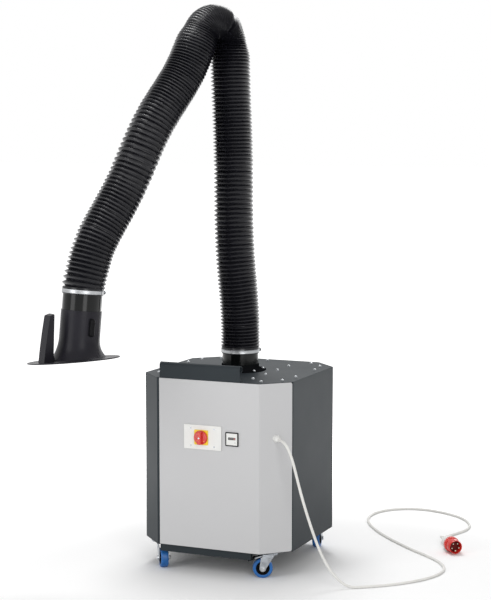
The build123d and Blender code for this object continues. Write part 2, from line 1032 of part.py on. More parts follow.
def elbow_pivots():
    """The two elbow hinges, in the arm's plane."""
    middle = (180 + upper_leg_lean) / 2
    return elbow_point(middle + link_half_angle), elbow_point(middle - link_half_angle)


def wrist_pivot():
    """Wrist hinge, in the arm's plane."""
    tilt = radians(hood_tilt)
    return (
        hood_reach - wrist_rise * sin(tilt),
        hood_clamp_height + wrist_rise * cos(tilt),
    )


def hood_frame():
    """Frame of the hood: origin at its clamp, +Z back up the hood's axis."""
    tilt = radians(hood_tilt)
    return Plane(
        origin=(hood_reach, 0, hood_clamp_height),
        x_dir=(cos(tilt), 0, sin(tilt)),
        z_dir=(-sin(tilt), 0, cos(tilt)),
    )


fork_gap = lug_width / 2 + gap + disc_thickness


def pivot_set(x, z):
    """Bolt with head and nut, and the friction discs either side of the lug."""
    outer = fork_gap + fork_plate_thickness
    reach = outer + bolt_head_height
    bolt = rod((x, -reach, z), (x, reach, z), pivot_radius)
    heads = [
        rod((x, side * outer, z), (x, side * reach, z), bolt_head_radius)
        for side in (-1, 1)
    ]
    bolt = bolt + heads
    discs = []
    for side in (-1, 1):
        start = side * (lug_width / 2 + gap)
        end = side * fork_gap
        washer = rod((x, start, z), (x, end, z), disc_radius)
        discs.append(washer - rod((x, -reach, z), (x, reach, z), pivot_radius + bond_gap))
    return [bolt] + discs


def pivot_hole(x, z, radius):
    """Cutter for a pivot hole."""
    reach = fork_gap + fork_plate_thickness + overrun
    return rod((x, -reach, z), (x, reach, z), radius)


def arm_strut(start, end):
    """Round tube with a flat lug at each end, for two pivots."""
    run = hypot(end[0] - start[0], end[1] - start[1])
    way = ((end[0] - start[0]) / run, (end[1] - start[1]) / run)
    inner_start = (start[0] + way[0] * lug_reach, 0, start[1] + way[1] * lug_reach)
    inner_end = (end[0] - way[0] * lug_reach, 0, end[1] - way[1] * lug_reach)
    shape = rod(inner_start, inner_end, arm_tube_radius)
    cut_start = (
        inner_start[0] + way[0] * arm_tube_wall,
        0,
        inner_start[2] + way[1] * arm_tube_wall,
    )
    cut_end = (
        inner_end[0] - way[0] * arm_tube_wall,
        0,
        inner_end[2] - way[1] * arm_tube_wall,
    )
    shape -= rod(cut_start, cut_end, arm_tube_radius - arm_tube_wall)
    for point, side in ((start, 1), (end, -1)):
        eye = rod(
            (point[0], -lug_width / 2, point[1]),
            (point[0], lug_width / 2, point[1]),
            lug_radius,
        )
        reach = lug_reach + arm_tube_wall / 2
        neck = Plane(
            origin=(point[0], 0, point[1]), x_dir=(0, 1, 0), z_dir=(side * way[0], 0, side * way[1])
        ) * Box(lug_width, 2 * arm_tube_radius, reach, align=low)
        shape = shape + eye + neck
        shape -= pivot_hole(point[0], point[1], pivot_radius + running_gap)
    return shape


def fork_plates(outlines):
    """Pair of side plates with one outline, either side of a lug."""
    plates = []
    for side in (-1, 1):
        middle = side * (fork_gap + fork_plate_thickness / 2)
        plates.append(Pos(0, middle, 0) * side_plate(outlines, fork_plate_thickness))
    return plates


def shoulder_bracket():
    """Cross strip in the collar with two upright plates and the shoulder bolt."""
    x, z = shoulder_pivot()
    inner = collar_radius - collar_wall - bond_gap
    half = fork_plate_width / 2
    base = cabinet_top + flange_plate
    reach = sqrt(inner * inner - half * half)
    strip = Pos(0, 0, base) * Box(2 * half, 2 * reach, spider_thickness, align=low)
    cross = Pos(0, 0, base) * Box(2 * reach, 2 * half, spider_thickness, align=low)
    plates = fork_plates([(-half, base), (half, base), (half, z), (-half, z)])
    eyes = [
        rod((x, side * fork_gap, z), (x, side * (fork_gap + fork_plate_thickness), z), half)
        for side in (-1, 1)
    ]
    bracket = strip + cross + plates + eyes
    bracket -= pivot_hole(x, z, pivot_radius + bond_gap)
    return arm_turn(solids_of(bracket, *pivot_set(x, z)))


def lower_arm_tube():
    """Lower arm from shoulder to elbow."""
    return arm_turn(arm_strut(shoulder_pivot(), elbow_pivots()[0]))


def upper_arm_tube():
    """Upper arm from elbow to wrist."""
    return arm_turn(arm_strut(elbow_pivots()[1], wrist_pivot()))


def elbow_link():
    """Two short plates with a pivot at each end, joining the arms at the elbow."""
    first, second = elbow_pivots()
    half = fork_plate_width / 2
    run = hypot(second[0] - first[0], second[1] - first[1])
    side_x = (first[1] - second[1]) / run * half
    side_z = (second[0] - first[0]) / run * half
    outline = [
        (first[0] + side_x, first[1] + side_z),
        (second[0] + side_x, second[1] + side_z),
        (second[0] - side_x, second[1] - side_z),
        (first[0] - side_x, first[1] - side_z),
    ]
    pieces = []
    for side, plate in zip((-1, 1), fork_plates(outline)):
        for x, z in (first, second):
            plate += rod(
                (x, side * fork_gap, z), (x, side * (fork_gap + fork_plate_thickness), z), half
            )
            plate -= pivot_hole(x, z, pivot_radius + bond_gap)
        pieces.append(plate)
    return arm_turn(solids_of(*pieces, *pivot_set(*first), *pivot_set(*second)))


def wrist_bracket():
    """Cross strip in the hood's sleeve with two plates up to the wrist bolt."""
    half = fork_plate_width / 2
    inner = sleeve_radius - sleeve_wall - bond_gap
    reach = sqrt(inner * inner - half * half)
    base = -spider_thickness
    strip = Pos(0, 0, base) * Box(2 * half, 2 * reach, spider_thickness, align=low)
    cross = Pos(0, 0, base) * Box(2 * reach, 2 * half, spider_thickness, align=low)
    plates = fork_plates([(-half, base), (half, base), (half, wrist_rise), (-half, wrist_rise)])
    eyes = [
        rod(
            (0, side * fork_gap, wrist_rise),
            (0, side * (fork_gap + fork_plate_thickness), wrist_rise),
            half,
        )
        for side in (-1, 1)
    ]
    bracket = strip + cross + plates + eyes
    bracket -= pivot_hole(0, wrist_rise, pivot_radius + bond_gap)
    placed = solids_of(bracket, *pivot_set(0, wrist_rise))
    return arm_turn(hood_frame() * placed)


# Hood


def on_hood(shape):
    """Places a shape from the hood's own frame."""
    return arm_turn(hood_frame() * shape)


def hood_sleeve():
    """Glossy sleeve that the hose is clamped to and the hood turns on."""
    length = sleeve_top + sleeve_bottom
    return on_hood(tube(sleeve_radius, sleeve_radius - sleeve_wall, length, z=-sleeve_bottom))


def hood_shell():
    """Hood body with neck, flare, brim, fin handle and its web."""
    return on_hood(hood_body() + hood_fin() - damper_bore())


def brim_frame():
    """Frame on the brim's upper face, at the brim's middle."""
    return Pos(brim_shift, 0, -hood_length) * Rot(brim_side_tilt, brim_tilt, 0)


def brim_level(x):
    """Height of the brim's upper face on the arm's plane, in the hood's frame."""
    slope = tan(radians(brim_tilt)) / cos(radians(brim_side_tilt))
    return -hood_length - (x - brim_shift) * slope


def flare_solid(thinner):
    """Trumpet from the neck to the brim, its sections turning with the brim."""
    drop = -brim_level(0) - hood_neck_bottom
    spread = hood_flare_radius - hood_neck_radius
    bend = (spread * spread + drop * drop) / (2 * spread)
    rings = []
    for i in range(flare_sections):
        share = i / (flare_sections - 1)
        depth = drop * share
        radius = hood_neck_radius + bend - sqrt(bend * bend - depth * depth) - thinner
        turn = Rot(brim_side_tilt * share, brim_tilt * share, 0)
        place = Pos(0, 0, -hood_neck_bottom - depth) * turn
        rings.append(place * Circle(radius))
    return loft(rings)


def hood_body():
    """Body of the hood: neck, trumpet and thin eccentric brim, open below."""
    inner = sleeve_radius + running_gap
    wall = hood_neck_radius - inner
    neck = hood_neck_bottom - hood_neck_top
    body = disc(hood_neck_radius, neck, z=-hood_neck_bottom) + flare_solid(0)
    brim = disc(brim_radius, brim_thickness, z=-brim_thickness)
    body += brim_frame() * chamfer(brim.edges(), brim_edge_radius)
    body -= disc(inner, neck + overrun, z=-hood_neck_bottom)
    body -= flare_solid(wall)
    mouth = disc(
        hood_flare_radius - wall, brim_thickness + overrun, z=-brim_thickness - overrun
    )
    return body - Pos(0, 0, brim_level(0)) * (Rot(brim_side_tilt, brim_tilt, 0) * mouth)


def hood_fin():
    """Upright fin handle on the brim, with a low web back to the hood."""
    base_inner = brim_level(fin_inner_low) - brim_edge_radius
    base_outer = brim_level(fin_outer_low) - brim_edge_radius
    outline = [
        Line((fin_inner_low, 0, base_inner), (fin_outer_low, 0, base_outer)),
        ThreePointArc(
            (fin_outer_low, 0, base_outer),
            (
                (fin_outer_low + fin_outer_high) / 2 + fin_bow / 2,
                0,
                (base_outer - fin_outer_drop) / 2,
            ),
            (fin_outer_high, 0, -fin_outer_drop),
        ),
        Line((fin_outer_high, 0, -fin_outer_drop), (fin_inner_high, 0, -fin_inner_drop)),
        Line((fin_inner_high, 0, -fin_inner_drop), (fin_inner_low, 0, base_inner)),
    ]
    fin = extrude(make_face(outline), amount=fin_width / 2, both=True)
    top = fin.faces().sort_by(Axis.Z)[-1].edges()
    side = fin_width * fin_side_share
    fin = fillet(top.filter_by(lambda edge: abs(edge.center().Y) > side), fin_top_radius)
    web_start = hood_flare_radius - hood_wall
    base = brim_level(web_start) - brim_edge_radius
    web_share = web_height / (-fin_inner_drop - base_inner)
    inner_at_web = fin_inner_low + (fin_inner_high - fin_inner_low) * web_share
    notch = (web_start + fin_inner_low) / 2
    web = [
        Line((web_start, 0, base), (fin_inner_low, 0, base_inner)),
        Line((fin_inner_low, 0, base_inner), (inner_at_web, 0, base_inner + web_height)),
        ThreePointArc(
            (inner_at_web, 0, base_inner + web_height),
            (notch, 0, base_inner + web_dip),
            (web_start, 0, base + web_dip / 2),
        ),
        Line((web_start, 0, base + web_dip / 2), (web_start, 0, base)),
    ]
    return fin + extrude(make_face(web), amount=web_width / 2, both=True)


def damper_bore():
    """Holes for the damper's spindle through both walls of the hood."""
    reach = hood_neck_radius + damper_boss_height + overrun
    return rod(
        (0, -reach, -damper_drop),
        (0, reach, -damper_drop),
        damper_spindle_radius + running_gap,
    )


def damper_blade():
    """Round blade on its spindle, open at rest."""
    thickness = damper_blade_thickness
    blade = rod(
        (-thickness / 2, 0, -damper_drop), (thickness / 2, 0, -damper_drop), damper_blade_radius
    )
    inside = hood_neck_radius - damper_knob_clearance
    outside = hood_neck_radius + damper_knob_clearance
    spindle = rod(
        (0, -inside, -damper_drop), (0, outside, -damper_drop), damper_spindle_radius
    )
    return on_hood(blade + spindle)


def damper_knob():
    """Long grip on the spindle's end, in line with the blade."""
    start = hood_neck_radius + damper_knob_clearance
    grip = Pos(0, start + damper_knob_depth / 2, -damper_drop) * Box(
        damper_knob_width, damper_knob_depth, damper_knob_length
    )
    grip = fillet(grip.edges().filter_by(Axis.Y), damper_knob_width / 2 - bond_gap)
    grip = chamfer(grip.edges().group_by(Axis.Y)[-1], damper_knob_radius)
    return on_hood(grip)


# Filters and fan


def outlet_middle():
    """Middle of the exhaust opening in the rear face, in x and z."""
    outer = scroll_radius + scroll_growth
    return fan_x + outer - outlet_width / 2, scroll_bottom + scroll_height / 2


scroll_top = frame_bottom - fan_plate_thickness
scroll_bottom = scroll_top - scroll_height


def filter_frame():
    """Walls round the filter cells, their rails, and the fan plate with its cone."""
    left = -frame_half_width
    right = frame_half_width
    outer = block(left, right, frame_front, frame_rear, frame_bottom, frame_top)
    inner = block(
        left + frame_sheet,
        right - frame_sheet,
        frame_front + frame_sheet,
        frame_rear + overrun,
        frame_bottom - overrun,
        frame_top + overrun,
    )
    walls = outer - inner
    rails = []
    for level in (carbon_bottom, main_bottom, trap_bottom):
        for side in (-1, 1):
            wall = side * (frame_half_width - frame_sheet)
            edge = wall - side * rail_leg
            rails.append(
                block(
                    min(wall, edge),
                    max(wall, edge),
                    frame_front + frame_sheet,
                    frame_rear,
                    level - frame_sheet,
                    level,
                )
            )
    plate = prism(octagon(sheet + reveal), fan_plate_thickness, frame_bottom - fan_plate_thickness)
    plate -= disc(cone_radius, sheet + 2 * overrun, fan_x, fan_y, scroll_top - overrun)
    top = frame_bottom
    wall = fan_plate_thickness
    cone = turned(
        [
            (cone_radius + wall, top),
            (cone_radius, top),
            (cone_throat, top - cone_depth),
            (cone_throat + wall, top - cone_depth),
            (cone_radius + wall, top - wall),
        ]
    )
    return solids_of(walls + rails, plate + Pos(fan_x, fan_y, 0) * cone)


def cell_case(bottom, height):
    """Case of a filter cell on its rails, open above and below."""
    side = frame_half_width - frame_sheet - cell_margin
    front = frame_front + frame_sheet + cell_margin
    rear = frame_rear - cell_margin
    outer = block(-side, side, front, rear, bottom, bottom + height)
    wall = cell_wall
    return outer - block(
        wall - side,
        side - wall,
        front + wall,
        rear - wall,
        bottom - overrun,
        bottom + height + overrun,
    )


def main_filter():
    """Pleated filter cell: case and one folded pack."""
    side = frame_half_width - frame_sheet - cell_margin - cell_wall
    front = frame_front + frame_sheet + cell_margin + cell_wall
    rear = frame_rear - cell_margin - cell_wall
    step = (rear - front) / pleat_count
    fold = cell_wall
    low_z = main_bottom + cell_wall
    high_z = main_bottom + main_height - cell_wall
    upper = [
        (front + step * i / 2, high_z if i % 2 else low_z + fold)
        for i in range(2 * pleat_count + 1)
    ]
    lower = [(y, z - fold) for y, z in reversed(upper)]
    outline = make_face(Polyline(*[(0, y, z) for y, z in upper + lower], close=True))
    pack = extrude(outline, amount=side, both=True)
    return cell_case(main_bottom, main_height) + pack


def layered_cell(bottom, height, layers, thickness):
    """Cell of flat layers stacked in a case."""
    cell = cell_case(bottom, height)
    side = frame_half_width - frame_sheet - cell_margin
    front = frame_front + frame_sheet + cell_margin
    step = (height - thickness) / (layers - 1)
    for i in range(layers):
        level = bottom + i * step
        cell += block(-side, side, front, frame_rear - cell_margin, level, level + thickness)
    return cell


def spark_trap():
    """Spark trap, layers of metal mesh in a case."""
    return layered_cell(trap_bottom, trap_height, trap_layers, trap_layer)


def carbon_cell():
    """Carbon cell, beds of granules in a case."""
    return layered_cell(carbon_bottom, carbon_height, carbon_layers, carbon_layer)


def inlet_duct():
    """Short duct under the top plate that leads the air to the cells."""
    radius = collar_radius - flange_ledge - gap
    start = cabinet_top - sheet - duct_length
    stub = tube(radius, radius - sheet, duct_length + sheet, z=start)
    collar = tube(
        radius + lip_height, radius - sheet, sheet, z=cabinet_top - 2 * sheet
    )
    return stub + collar


def fan_scroll():
    """Spiral housing of the fan, its outlet towards the rear."""
    outer = scroll_radius + scroll_growth
    base = disc(outer, scroll_height, 0, 0, scroll_bottom)
    outlet = block(
        outer - outlet_width,
        outer,
        0,
        rear_y - sheet - gap - fan_y,
        scroll_bottom,
        scroll_bottom + scroll_height,
    )
    shell = base + outlet
    inner_base = disc(
        outer - scroll_sheet, scroll_height - 2 * scroll_sheet, 0, 0, scroll_bottom + scroll_sheet
    )
    inner_outlet = block(
        outer - outlet_width + scroll_sheet,
        outer - scroll_sheet,
        0,
        rear_y + overrun,
        scroll_bottom + scroll_sheet,
        scroll_bottom + scroll_height - scroll_sheet,
    )
    shell -= inner_base
    shell -= inner_outlet
    shell -= disc(cone_radius + 2 * fan_plate_thickness, overrun, z=scroll_top - scroll_sheet)
    shell -= disc(motor_shaft_radius + sheet, overrun, z=scroll_bottom - sheet)
    tongue = block(
        outer - outlet_width,
        outer - outlet_width + scroll_sheet,
        sqrt(outer * outer - (outer - outlet_width) ** 2) - scroll_growth,
        rear_y - sheet - gap - fan_y,
        scroll_bottom,
        scroll_bottom + scroll_height,
    )
    return Pos(fan_x, fan_y, 0) * (shell + tongue)


def impeller():
    """Backward-curved wheel: back plate, hub, blades and ring."""
    base = scroll_bottom + scroll_sheet + impeller_floor
    back = disc(impeller_radius, impeller_plate, z=base)
    hub = disc(impeller_hub_radius, impeller_height / 2, z=base)
    wheel = back + hub
    inner = impeller_eye_radius * blade_start_share
    for i in range(blade_count):
        turn = 360 * i / blade_count
        blade = Pos(inner, 0, base + impeller_plate / 2) * (
            Rot(0, 0, blade_sweep)
            * Box(
                impeller_radius - inner - blade_thickness,
                blade_thickness,
                impeller_height - impeller_plate,
                align=corner,
            )
        )
        wheel += Rot(0, 0, turn) * blade
    shroud = tube(
        impeller_radius - scroll_sheet,
        impeller_eye_radius,
        impeller_plate,
        z=base + impeller_height - impeller_plate,
    )
    wheel += shroud
    bore = motor_shaft_radius + running_gap
    wheel -= disc(bore, impeller_height + 2 * overrun, z=base - overrun)
    return Pos(fan_x, fan_y, 0) * wheel


def fan_motor():
    """Finned motor hung under the scroll, its shaft up through the impeller's hub."""
    flange_top = scroll_bottom
    body = disc(motor_radius, motor_height, z=flange_top - motor_flange - motor_height)
    for i in range(motor_fins):
        turn = 360 * i / motor_fins
        fin = block(
            motor_radius - sheet,
            motor_radius + motor_fin_depth,
            -motor_fin_width / 2,
            motor_fin_width / 2,
            flange_top - motor_flange - motor_height + motor_fin_depth,
            flange_top - motor_flange,
        )
        body += Rot(0, 0, turn) * fin
    body += disc(motor_flange_radius, motor_flange, z=flange_top - motor_flange)
    shaft_top = scroll_bottom + scroll_sheet + impeller_floor + impeller_height / 2
    body += disc(motor_shaft_radius, shaft_top - flange_top + motor_flange, z=flange_top - motor_flange)
    return Pos(fan_x, fan_y, 0) * body


def exhaust_grille():
    """Slotted grille over the exhaust opening."""
    x, z = outlet_middle()
    half = grille_width / 2
    plate = block(
        x - half,
        x + half,
        rear_y,
        rear_y + grille_thickness,
        z - grille_height / 2,
        z + grille_height / 2,
    )
    pitch = scroll_height / grille_slots
    for i in range(grille_slots):
        middle = z + (i - (grille_slots - 1) / 2) * pitch
        plate -= block(
            x - grille_slot_width / 2,
            x + grille_slot_width / 2,
            rear_y - overrun,
            rear_y + grille_thickness + overrun,
            middle - grille_slot_height / 2,
            middle + grille_slot_height / 2,
        )
    return plate


def electrical_box():
    """Contactor box on the filter frame's front wall, with its lid."""
    rear = frame_front
    body = block(
        box_x - box_width / 2,
        box_x + box_width / 2,
        rear - box_depth,
        rear,
        box_z - box_height / 2,
        box_z + box_height / 2,
    )
    return chamfer(body.edges().group_by(Axis.Y)[0], sheet)


# Rear door


def hinge_places():
    """Heights of the door's two hinges."""
    span = door_top - door_bottom
    return [door_bottom + span * hinge_share, door_top - span * hinge_share - hinge_length]


def hinge_axis():
    """Place of the door's hinge pin in plan."""
    return -door_half_width - hinge_offset, rear_y + hinge_radius + gap


def door_hinges():
    """Fixed leaf, two knuckles and pin of each hinge."""
    x, y = hinge_axis()
    third = hinge_length / knuckle_count
    pieces = []
    for z in hinge_places():
        leaf = block(
            x - hinge_leaf_width, x, rear_y, rear_y + hinge_leaf, z, z + hinge_length
        )
        leaf += disc(hinge_radius, hinge_length, x, y, z)
        reach = hinge_radius + gap
        leaf -= block(
            x - reach, x + reach, rear_y - overrun, y + reach, z + third, z + 2 * third
        )
        leaf += disc(hinge_pin_radius, hinge_length, x, y, z)
        pieces.append(leaf)
    return solids_of(*pieces)


def filter_door():
    """Door tray over the rear opening, with the turning knuckles of its hinges."""
    face = rear_y + seal_gap
    tray = block(
        -door_half_width, door_half_width, face, face + door_return, door_bottom, door_top
    )
    tray -= block(
        sheet - door_half_width,
        door_half_width - sheet,
        face - overrun,
        face + door_return - sheet,
        door_bottom + sheet,
        door_top - sheet,
    )
    x, y = hinge_axis()
    third = hinge_length / knuckle_count
    door = tray
    for z in hinge_places():
        start = z + third + gap
        height = third - 2 * gap
        door += disc(hinge_radius, height, x, y, start)
        door += block(
            x,
            sheet - door_half_width,
            y - hinge_leaf / 2,
            y + hinge_leaf / 2,
            start,
            start + height,
        )
        door -= disc(hinge_pin_radius + running_gap, hinge_length + 2 * overrun, x, y, z - overrun)
    for place in latch_places():
        door -= rod(
            (place[0], face - overrun, place[1]),
            (place[0], face + door_return + overrun, place[1]),
            latch_shaft_radius + running_gap,
        )
    return door


def latch_places():
    """Latch shafts on the door's free side, in x and z."""
    span = door_top - door_bottom
    x = door_half_width - latch_inset
    return [(x, door_bottom + span * latch_share), (x, door_top - span * latch_share)]


def door_latch(index):
    """Quarter-turn latch: wing, collar, shaft and tongue, stored unlocked."""
    x, z = latch_places()[index]
    outside = rear_y + seal_gap + door_return
    base = rod((x, outside + gap, z), (x, outside + gap + latch_base_height, z), latch_base_radius)
    wing = Pos(x, outside + gap + latch_base_height, z) * Box(
        latch_wing_width,
        latch_wing_height,
        latch_wing_length,
        align=(Align.CENTER, Align.MIN, Align.CENTER),
    )
    inside = rear_y - sheet - latch_depth
    shaft = rod((x, inside, z), (x, outside + gap, z), latch_shaft_radius)
    tongue = block(
        x - latch_tongue_width / 2,
        x + latch_tongue_width / 2,
        inside,
        inside + latch_tongue_thickness,
        z - latch_tongue_width / 2,
        z - latch_tongue_width / 2 + latch_tongue_length,
    )
    return base + wing + shaft + tongue


# Casters

caster_top = ride_height - sheet
fork_top = caster_top - caster_plate_thickness - race_height


def caster_place(name):
    """King pin of a caster in plan."""
    side_x = 1 if name.endswith("right") else -1
    side_y = -1 if name.startswith("front") else 1
    return side_x * caster_reach, side_y * caster_reach


def at_caster(name, shape):
    """Places a shape from a caster's own frame, where the wheel trails along +X."""
    x, y = caster_place(name)
    return Pos(x, y, 0) * (Rot(0, 0, caster_headings[name]) * shape)


def caster_bolts(name):
    """Bolt heads under a caster's plate."""
    x, y = caster_place(name)
    base = caster_top - caster_plate_thickness - caster_bolt_height
    head = extrude(RegularPolygon(caster_bolt_radius, hexagon_sides), amount=caster_bolt_height)
    reach = caster_bolt_offset
    return [Pos(x + i * reach, y + j * reach, base) * head for i in (-1, 1) for j in (-1, 1)]


def caster_plates():
    """Fixed plate, ball race and king pin of each caster."""
    pieces = []
    for name in caster_headings:
        x, y = caster_place(name)
        base = caster_top - caster_plate_thickness
        plate = Box(caster_plate, caster_plate, caster_plate_thickness, align=low)
        plate = Pos(0, 0, base) * fillet(plate.edges().filter_by(Axis.Z), caster_plate_radius)
        race = disc(race_radius, race_height - gap, z=base - race_height + gap)
        pin_base = fork_top - fork_sheet - gap - king_head_height
        pin = disc(king_pin_radius, base - pin_base, z=pin_base)
        head = disc(king_head_radius, king_head_height, z=pin_base)
        pieces.append(Pos(x, y, 0) * (plate + race + pin + head))
    return solids_of(*pieces)


def caster_fork(name):
    """Fork with its cheeks, and the axle bolt with nut."""
    base = fork_top - fork_sheet
    inner = fork_inner / 2
    bridge = disc(fork_head_radius, fork_sheet, z=base)
    bridge += block(
        -fork_head_radius / 2,
        fork_head_radius,
        -inner - fork_sheet,
        inner + fork_sheet,
        base,
        fork_top,
    )
    bridge -= disc(king_pin_radius + running_gap, 2 * overrun, z=base - overrun / 2)
    cheeks = []
    tip = wheel_radius
    for side in (-1, 1):
        middle = side * (inner + fork_sheet / 2)
        cheek = side_plate(
            [
                (-fork_head_radius / 2, fork_top),
                (fork_head_radius, fork_top),
                (fork_cheek_reach, fork_top - fork_cheek_drop),
                (trail + fork_end_radius, tip),
                (trail - fork_end_radius, tip),
            ],
            fork_sheet,
        )
        cheek += rod(
            (trail, -fork_sheet / 2, tip), (trail, fork_sheet / 2, tip), fork_end_radius
        )
        cheeks.append(Pos(0, middle, 0) * cheek)
    reach = inner + fork_sheet
    bolt_end = reach + axle_nut_height
    axle = rod((trail, -bolt_end, tip), (trail, bolt_end, tip), axle_radius)
    nuts = [
        rod((trail, side * reach, tip), (trail, side * bolt_end, tip), axle_nut_radius)
        for side in (-1, 1)
    ]
    fork = bridge + cheeks + axle + nuts
    if name in braked_casters:
        pin = rod(
            (pedal_start, -reach, pedal_height), (pedal_start, reach, pedal_height), pedal_pin_radius
        )
        ears = [
            Pos(0, side * (inner + fork_sheet / 2), 0)
            * side_plate(
                [
                    (0, fork_top),
                    (pedal_start + pedal_ear_reach, fork_top),
                    (pedal_start + pedal_ear_reach, pedal_height - pedal_ear_drop),
                    (0, pedal_height - pedal_ear_drop),
                ],
                fork_sheet,
            )
            for side in (-1, 1)
        ]
        fork = fork + pin + ears
    return at_caster(name, fork)


def caster_wheel(name):
    """Tyre and hub of a caster."""
    half = wheel_width / 2
    edge = tyre_edge_radius
    tyre = Cylinder(wheel_radius, wheel_width)
    tyre = fillet(tyre.edges(), edge)
    tyre -= Cylinder(hub_radius + bond_gap, wheel_width + 2 * overrun)
    hub = Cylinder(hub_radius, hub_width)
    for side in (-1, 1):
        face = side * hub_width / 2
        groove = Pos(0, 0, face) * (
            Cylinder(hub_recess_outer, 2 * hub_recess) - Cylinder(hub_recess_inner, 2 * hub_recess)
        )
        hub -= groove
    hub -= Cylinder(axle_radius + running_gap, hub_width + 2 * overrun)
    place = Plane(origin=(trail, 0, wheel_radius), z_dir=(0, 1, 0), x_dir=(1, 0, 0))
    return at_caster(name, solids_of(place * tyre, place * hub))


def brake_pedal(name):
    """Foot lever of a braked caster, sloping down over the wheel."""
    half = pedal_width / 2
    slab = Box(pedal_length, pedal_width, pedal_thickness, align=(Align.MIN, Align.CENTER, Align.CENTER))
    slab = fillet(slab.edges().filter_by(Axis.Z), pedal_thickness)
    eye = rod((0, -half, 0), (0, half, 0), pedal_eye_radius)
    pedal = slab + eye - rod(
        (0, -half - overrun, 0), (0, half + overrun, 0), pedal_pin_radius + running_gap
    )
    placed = Pos(pedal_start, 0, pedal_height) * (Rot(0, pedal_slope, 0) * pedal)
    return at_caster(name, placed)


# Cord and plug

cord_route = [
    (294.5, -294.5, 569.0),
    (317.1, -317.1, 569.0),
    (342.0, -332.0, 554.0),
    (362.0, -339.0, 522.0),
    (381.0, -342.0, 464.0),
    (400.0, -342.0, 393.0),
    (422.0, -340.0, 318.0),
    (446.0, -335.0, 243.0),
    (470.0, -328.0, 172.0),
    (497.0, -317.0, 106.0),
    (532.0, -302.0, 48.0),
    (580.0, -281.0, 5.6),
    (631.0, -249.0, 5.6),
    (690.0, -205.0, 5.6),
    (748.0, -147.0, 5.6),
    (806.0, -70.0, 5.6),
    (846.0, 20.0, 5.6),
    (852.0, 118.0, 5.6),
    (812.0, 206.0, 5.6),
    (738.0, 284.0, 5.6),
    (640.0, 362.0, 5.6),
    (540.0, 455.0, 5.6),
    (438.0, 560.0, 5.6),
    (346.0, 676.0, 5.6),
    (280.0, 795.0, 5.6),
    (262.0, 912.0, 5.6),
    (296.0, 1012.0, 5.6),
    (366.0, 1076.0, 5.6),
    (452.0, 1098.0, 5.6),
    (542.0, 1078.0, 5.6),
    (630.0, 1034.0, 5.6),
    (702.0, 962.0, 5.6),
    (744.0, 872.0, 5.6),
    (748.0, 784.0, 5.6),
    (722.0, 706.0, 5.6),
    (702.0, 651.0, 5.6),
    (695.0, 601.0, 12.0),
    (700.0, 560.0, 26.0),
    (714.6, 520.2, 33.0),
    (735.0, 493.0, 33.0),
]


def plug_frame():
    """Frame of the plug: origin at its front, +Z out of the front."""
    return Plane(
        origin=(plug_front[0], plug_front[1], plug_radius),
        z_dir=(plug_axis_x, plug_axis_y, 0),
        x_dir=(-plug_axis_y, plug_axis_x, 0),
    )


def cord_ends():
    """The route with its first and last points on the gland and the plug."""
    gland = gland_plane().location * Pos(0, 0, gland_hex_height + gland_dome_height)
    tail = plug_frame().location * Pos(0, 0, -plug_length)
    points = [Vector(*p) for p in cord_route]
    points[0] = gland.position
    points[-1] = tail.position
    return points


def mains_cord():
    """The cord's whole route as straight runs joined by the largest tangent arcs."""
    points = cord_ends()
    radii = []
    for before, here, after in zip(points, points[1:], points[2:]):
        first = here - before
        second = after - here
        turn = radians(first.get_angle(second))
        radii.append(arc_share * min(first.length, second.length) / tan(turn / 2))
    path = FilletPolyline(*points, radius=radii)
    section = Plane(origin=points[0], z_dir=points[1] - points[0]) * Circle(cord_radius)
    cord = sweep(section, path=path)
    print("cord length", round(path.length, 1))
    return cord


def plug_parts():
    """Plug pieces in the plug's own frame: red collar, white body and pins."""
    shroud = Pos(0, 0, -plug_shroud_length) * Cylinder(
        plug_shroud_radius, plug_shroud_length, align=low
    )
    cavity = plug_shroud_length - plug_shroud_wall
    hollow = Pos(0, 0, -cavity) * Cylinder(
        plug_shroud_radius - plug_shroud_wall, cavity + overrun, align=low
    )
    ring_base = plug_shroud_length + plug_ring_length
    ring = Pos(0, 0, -ring_base) * Cylinder(plug_ring_radius, plug_ring_length, align=low)
    ring = chamfer(ring.edges().group_by(Axis.Z)[-1], plug_shroud_wall)
    collar = shroud + ring - hollow
    body_end = ring_base + plug_body_length
    body = turned(
        [
            (0, -ring_base),
            (plug_body_radius, -ring_base),
            (plug_body_radius, -ring_base - plug_body_length / 2),
            (plug_body_end_radius, -body_end),
            (plug_nut_radius, -body_end),
            (plug_nut_radius, -body_end - plug_nut_length / 2),
            (plug_nut_end_radius, -body_end - plug_nut_length),
            (0, -body_end - plug_nut_length),
        ]
    )
    pins = []
    for i in range(plug_pin_count):
        turn = radians(360 * i / plug_pin_count - 90)
        radius = plug_earth_radius if i == 0 else plug_pin_radius
        length = cavity - plug_pin_setback
        pin = Pos(plug_pin_circle * cos(turn), plug_pin_circle * sin(turn), -cavity)
        pins.append(pin * Cylinder(radius, length, align=low))
    return collar, body, pins


def plug_collar():
    """Red shroud and ring of the plug."""
    return plug_frame() * plug_parts()[0]


def plug_body():
    """White rear body and cord nut of the plug."""
    return plug_frame() * plug_parts()[1]


def plug_pins():
    """The plug's five pins."""
    frame = plug_frame()
    return solids_of(*[frame * pin for pin in plug_parts()[2]])


free_nodes = ["mains_cord", "plug_body", "plug_collar", "plug_pins"]


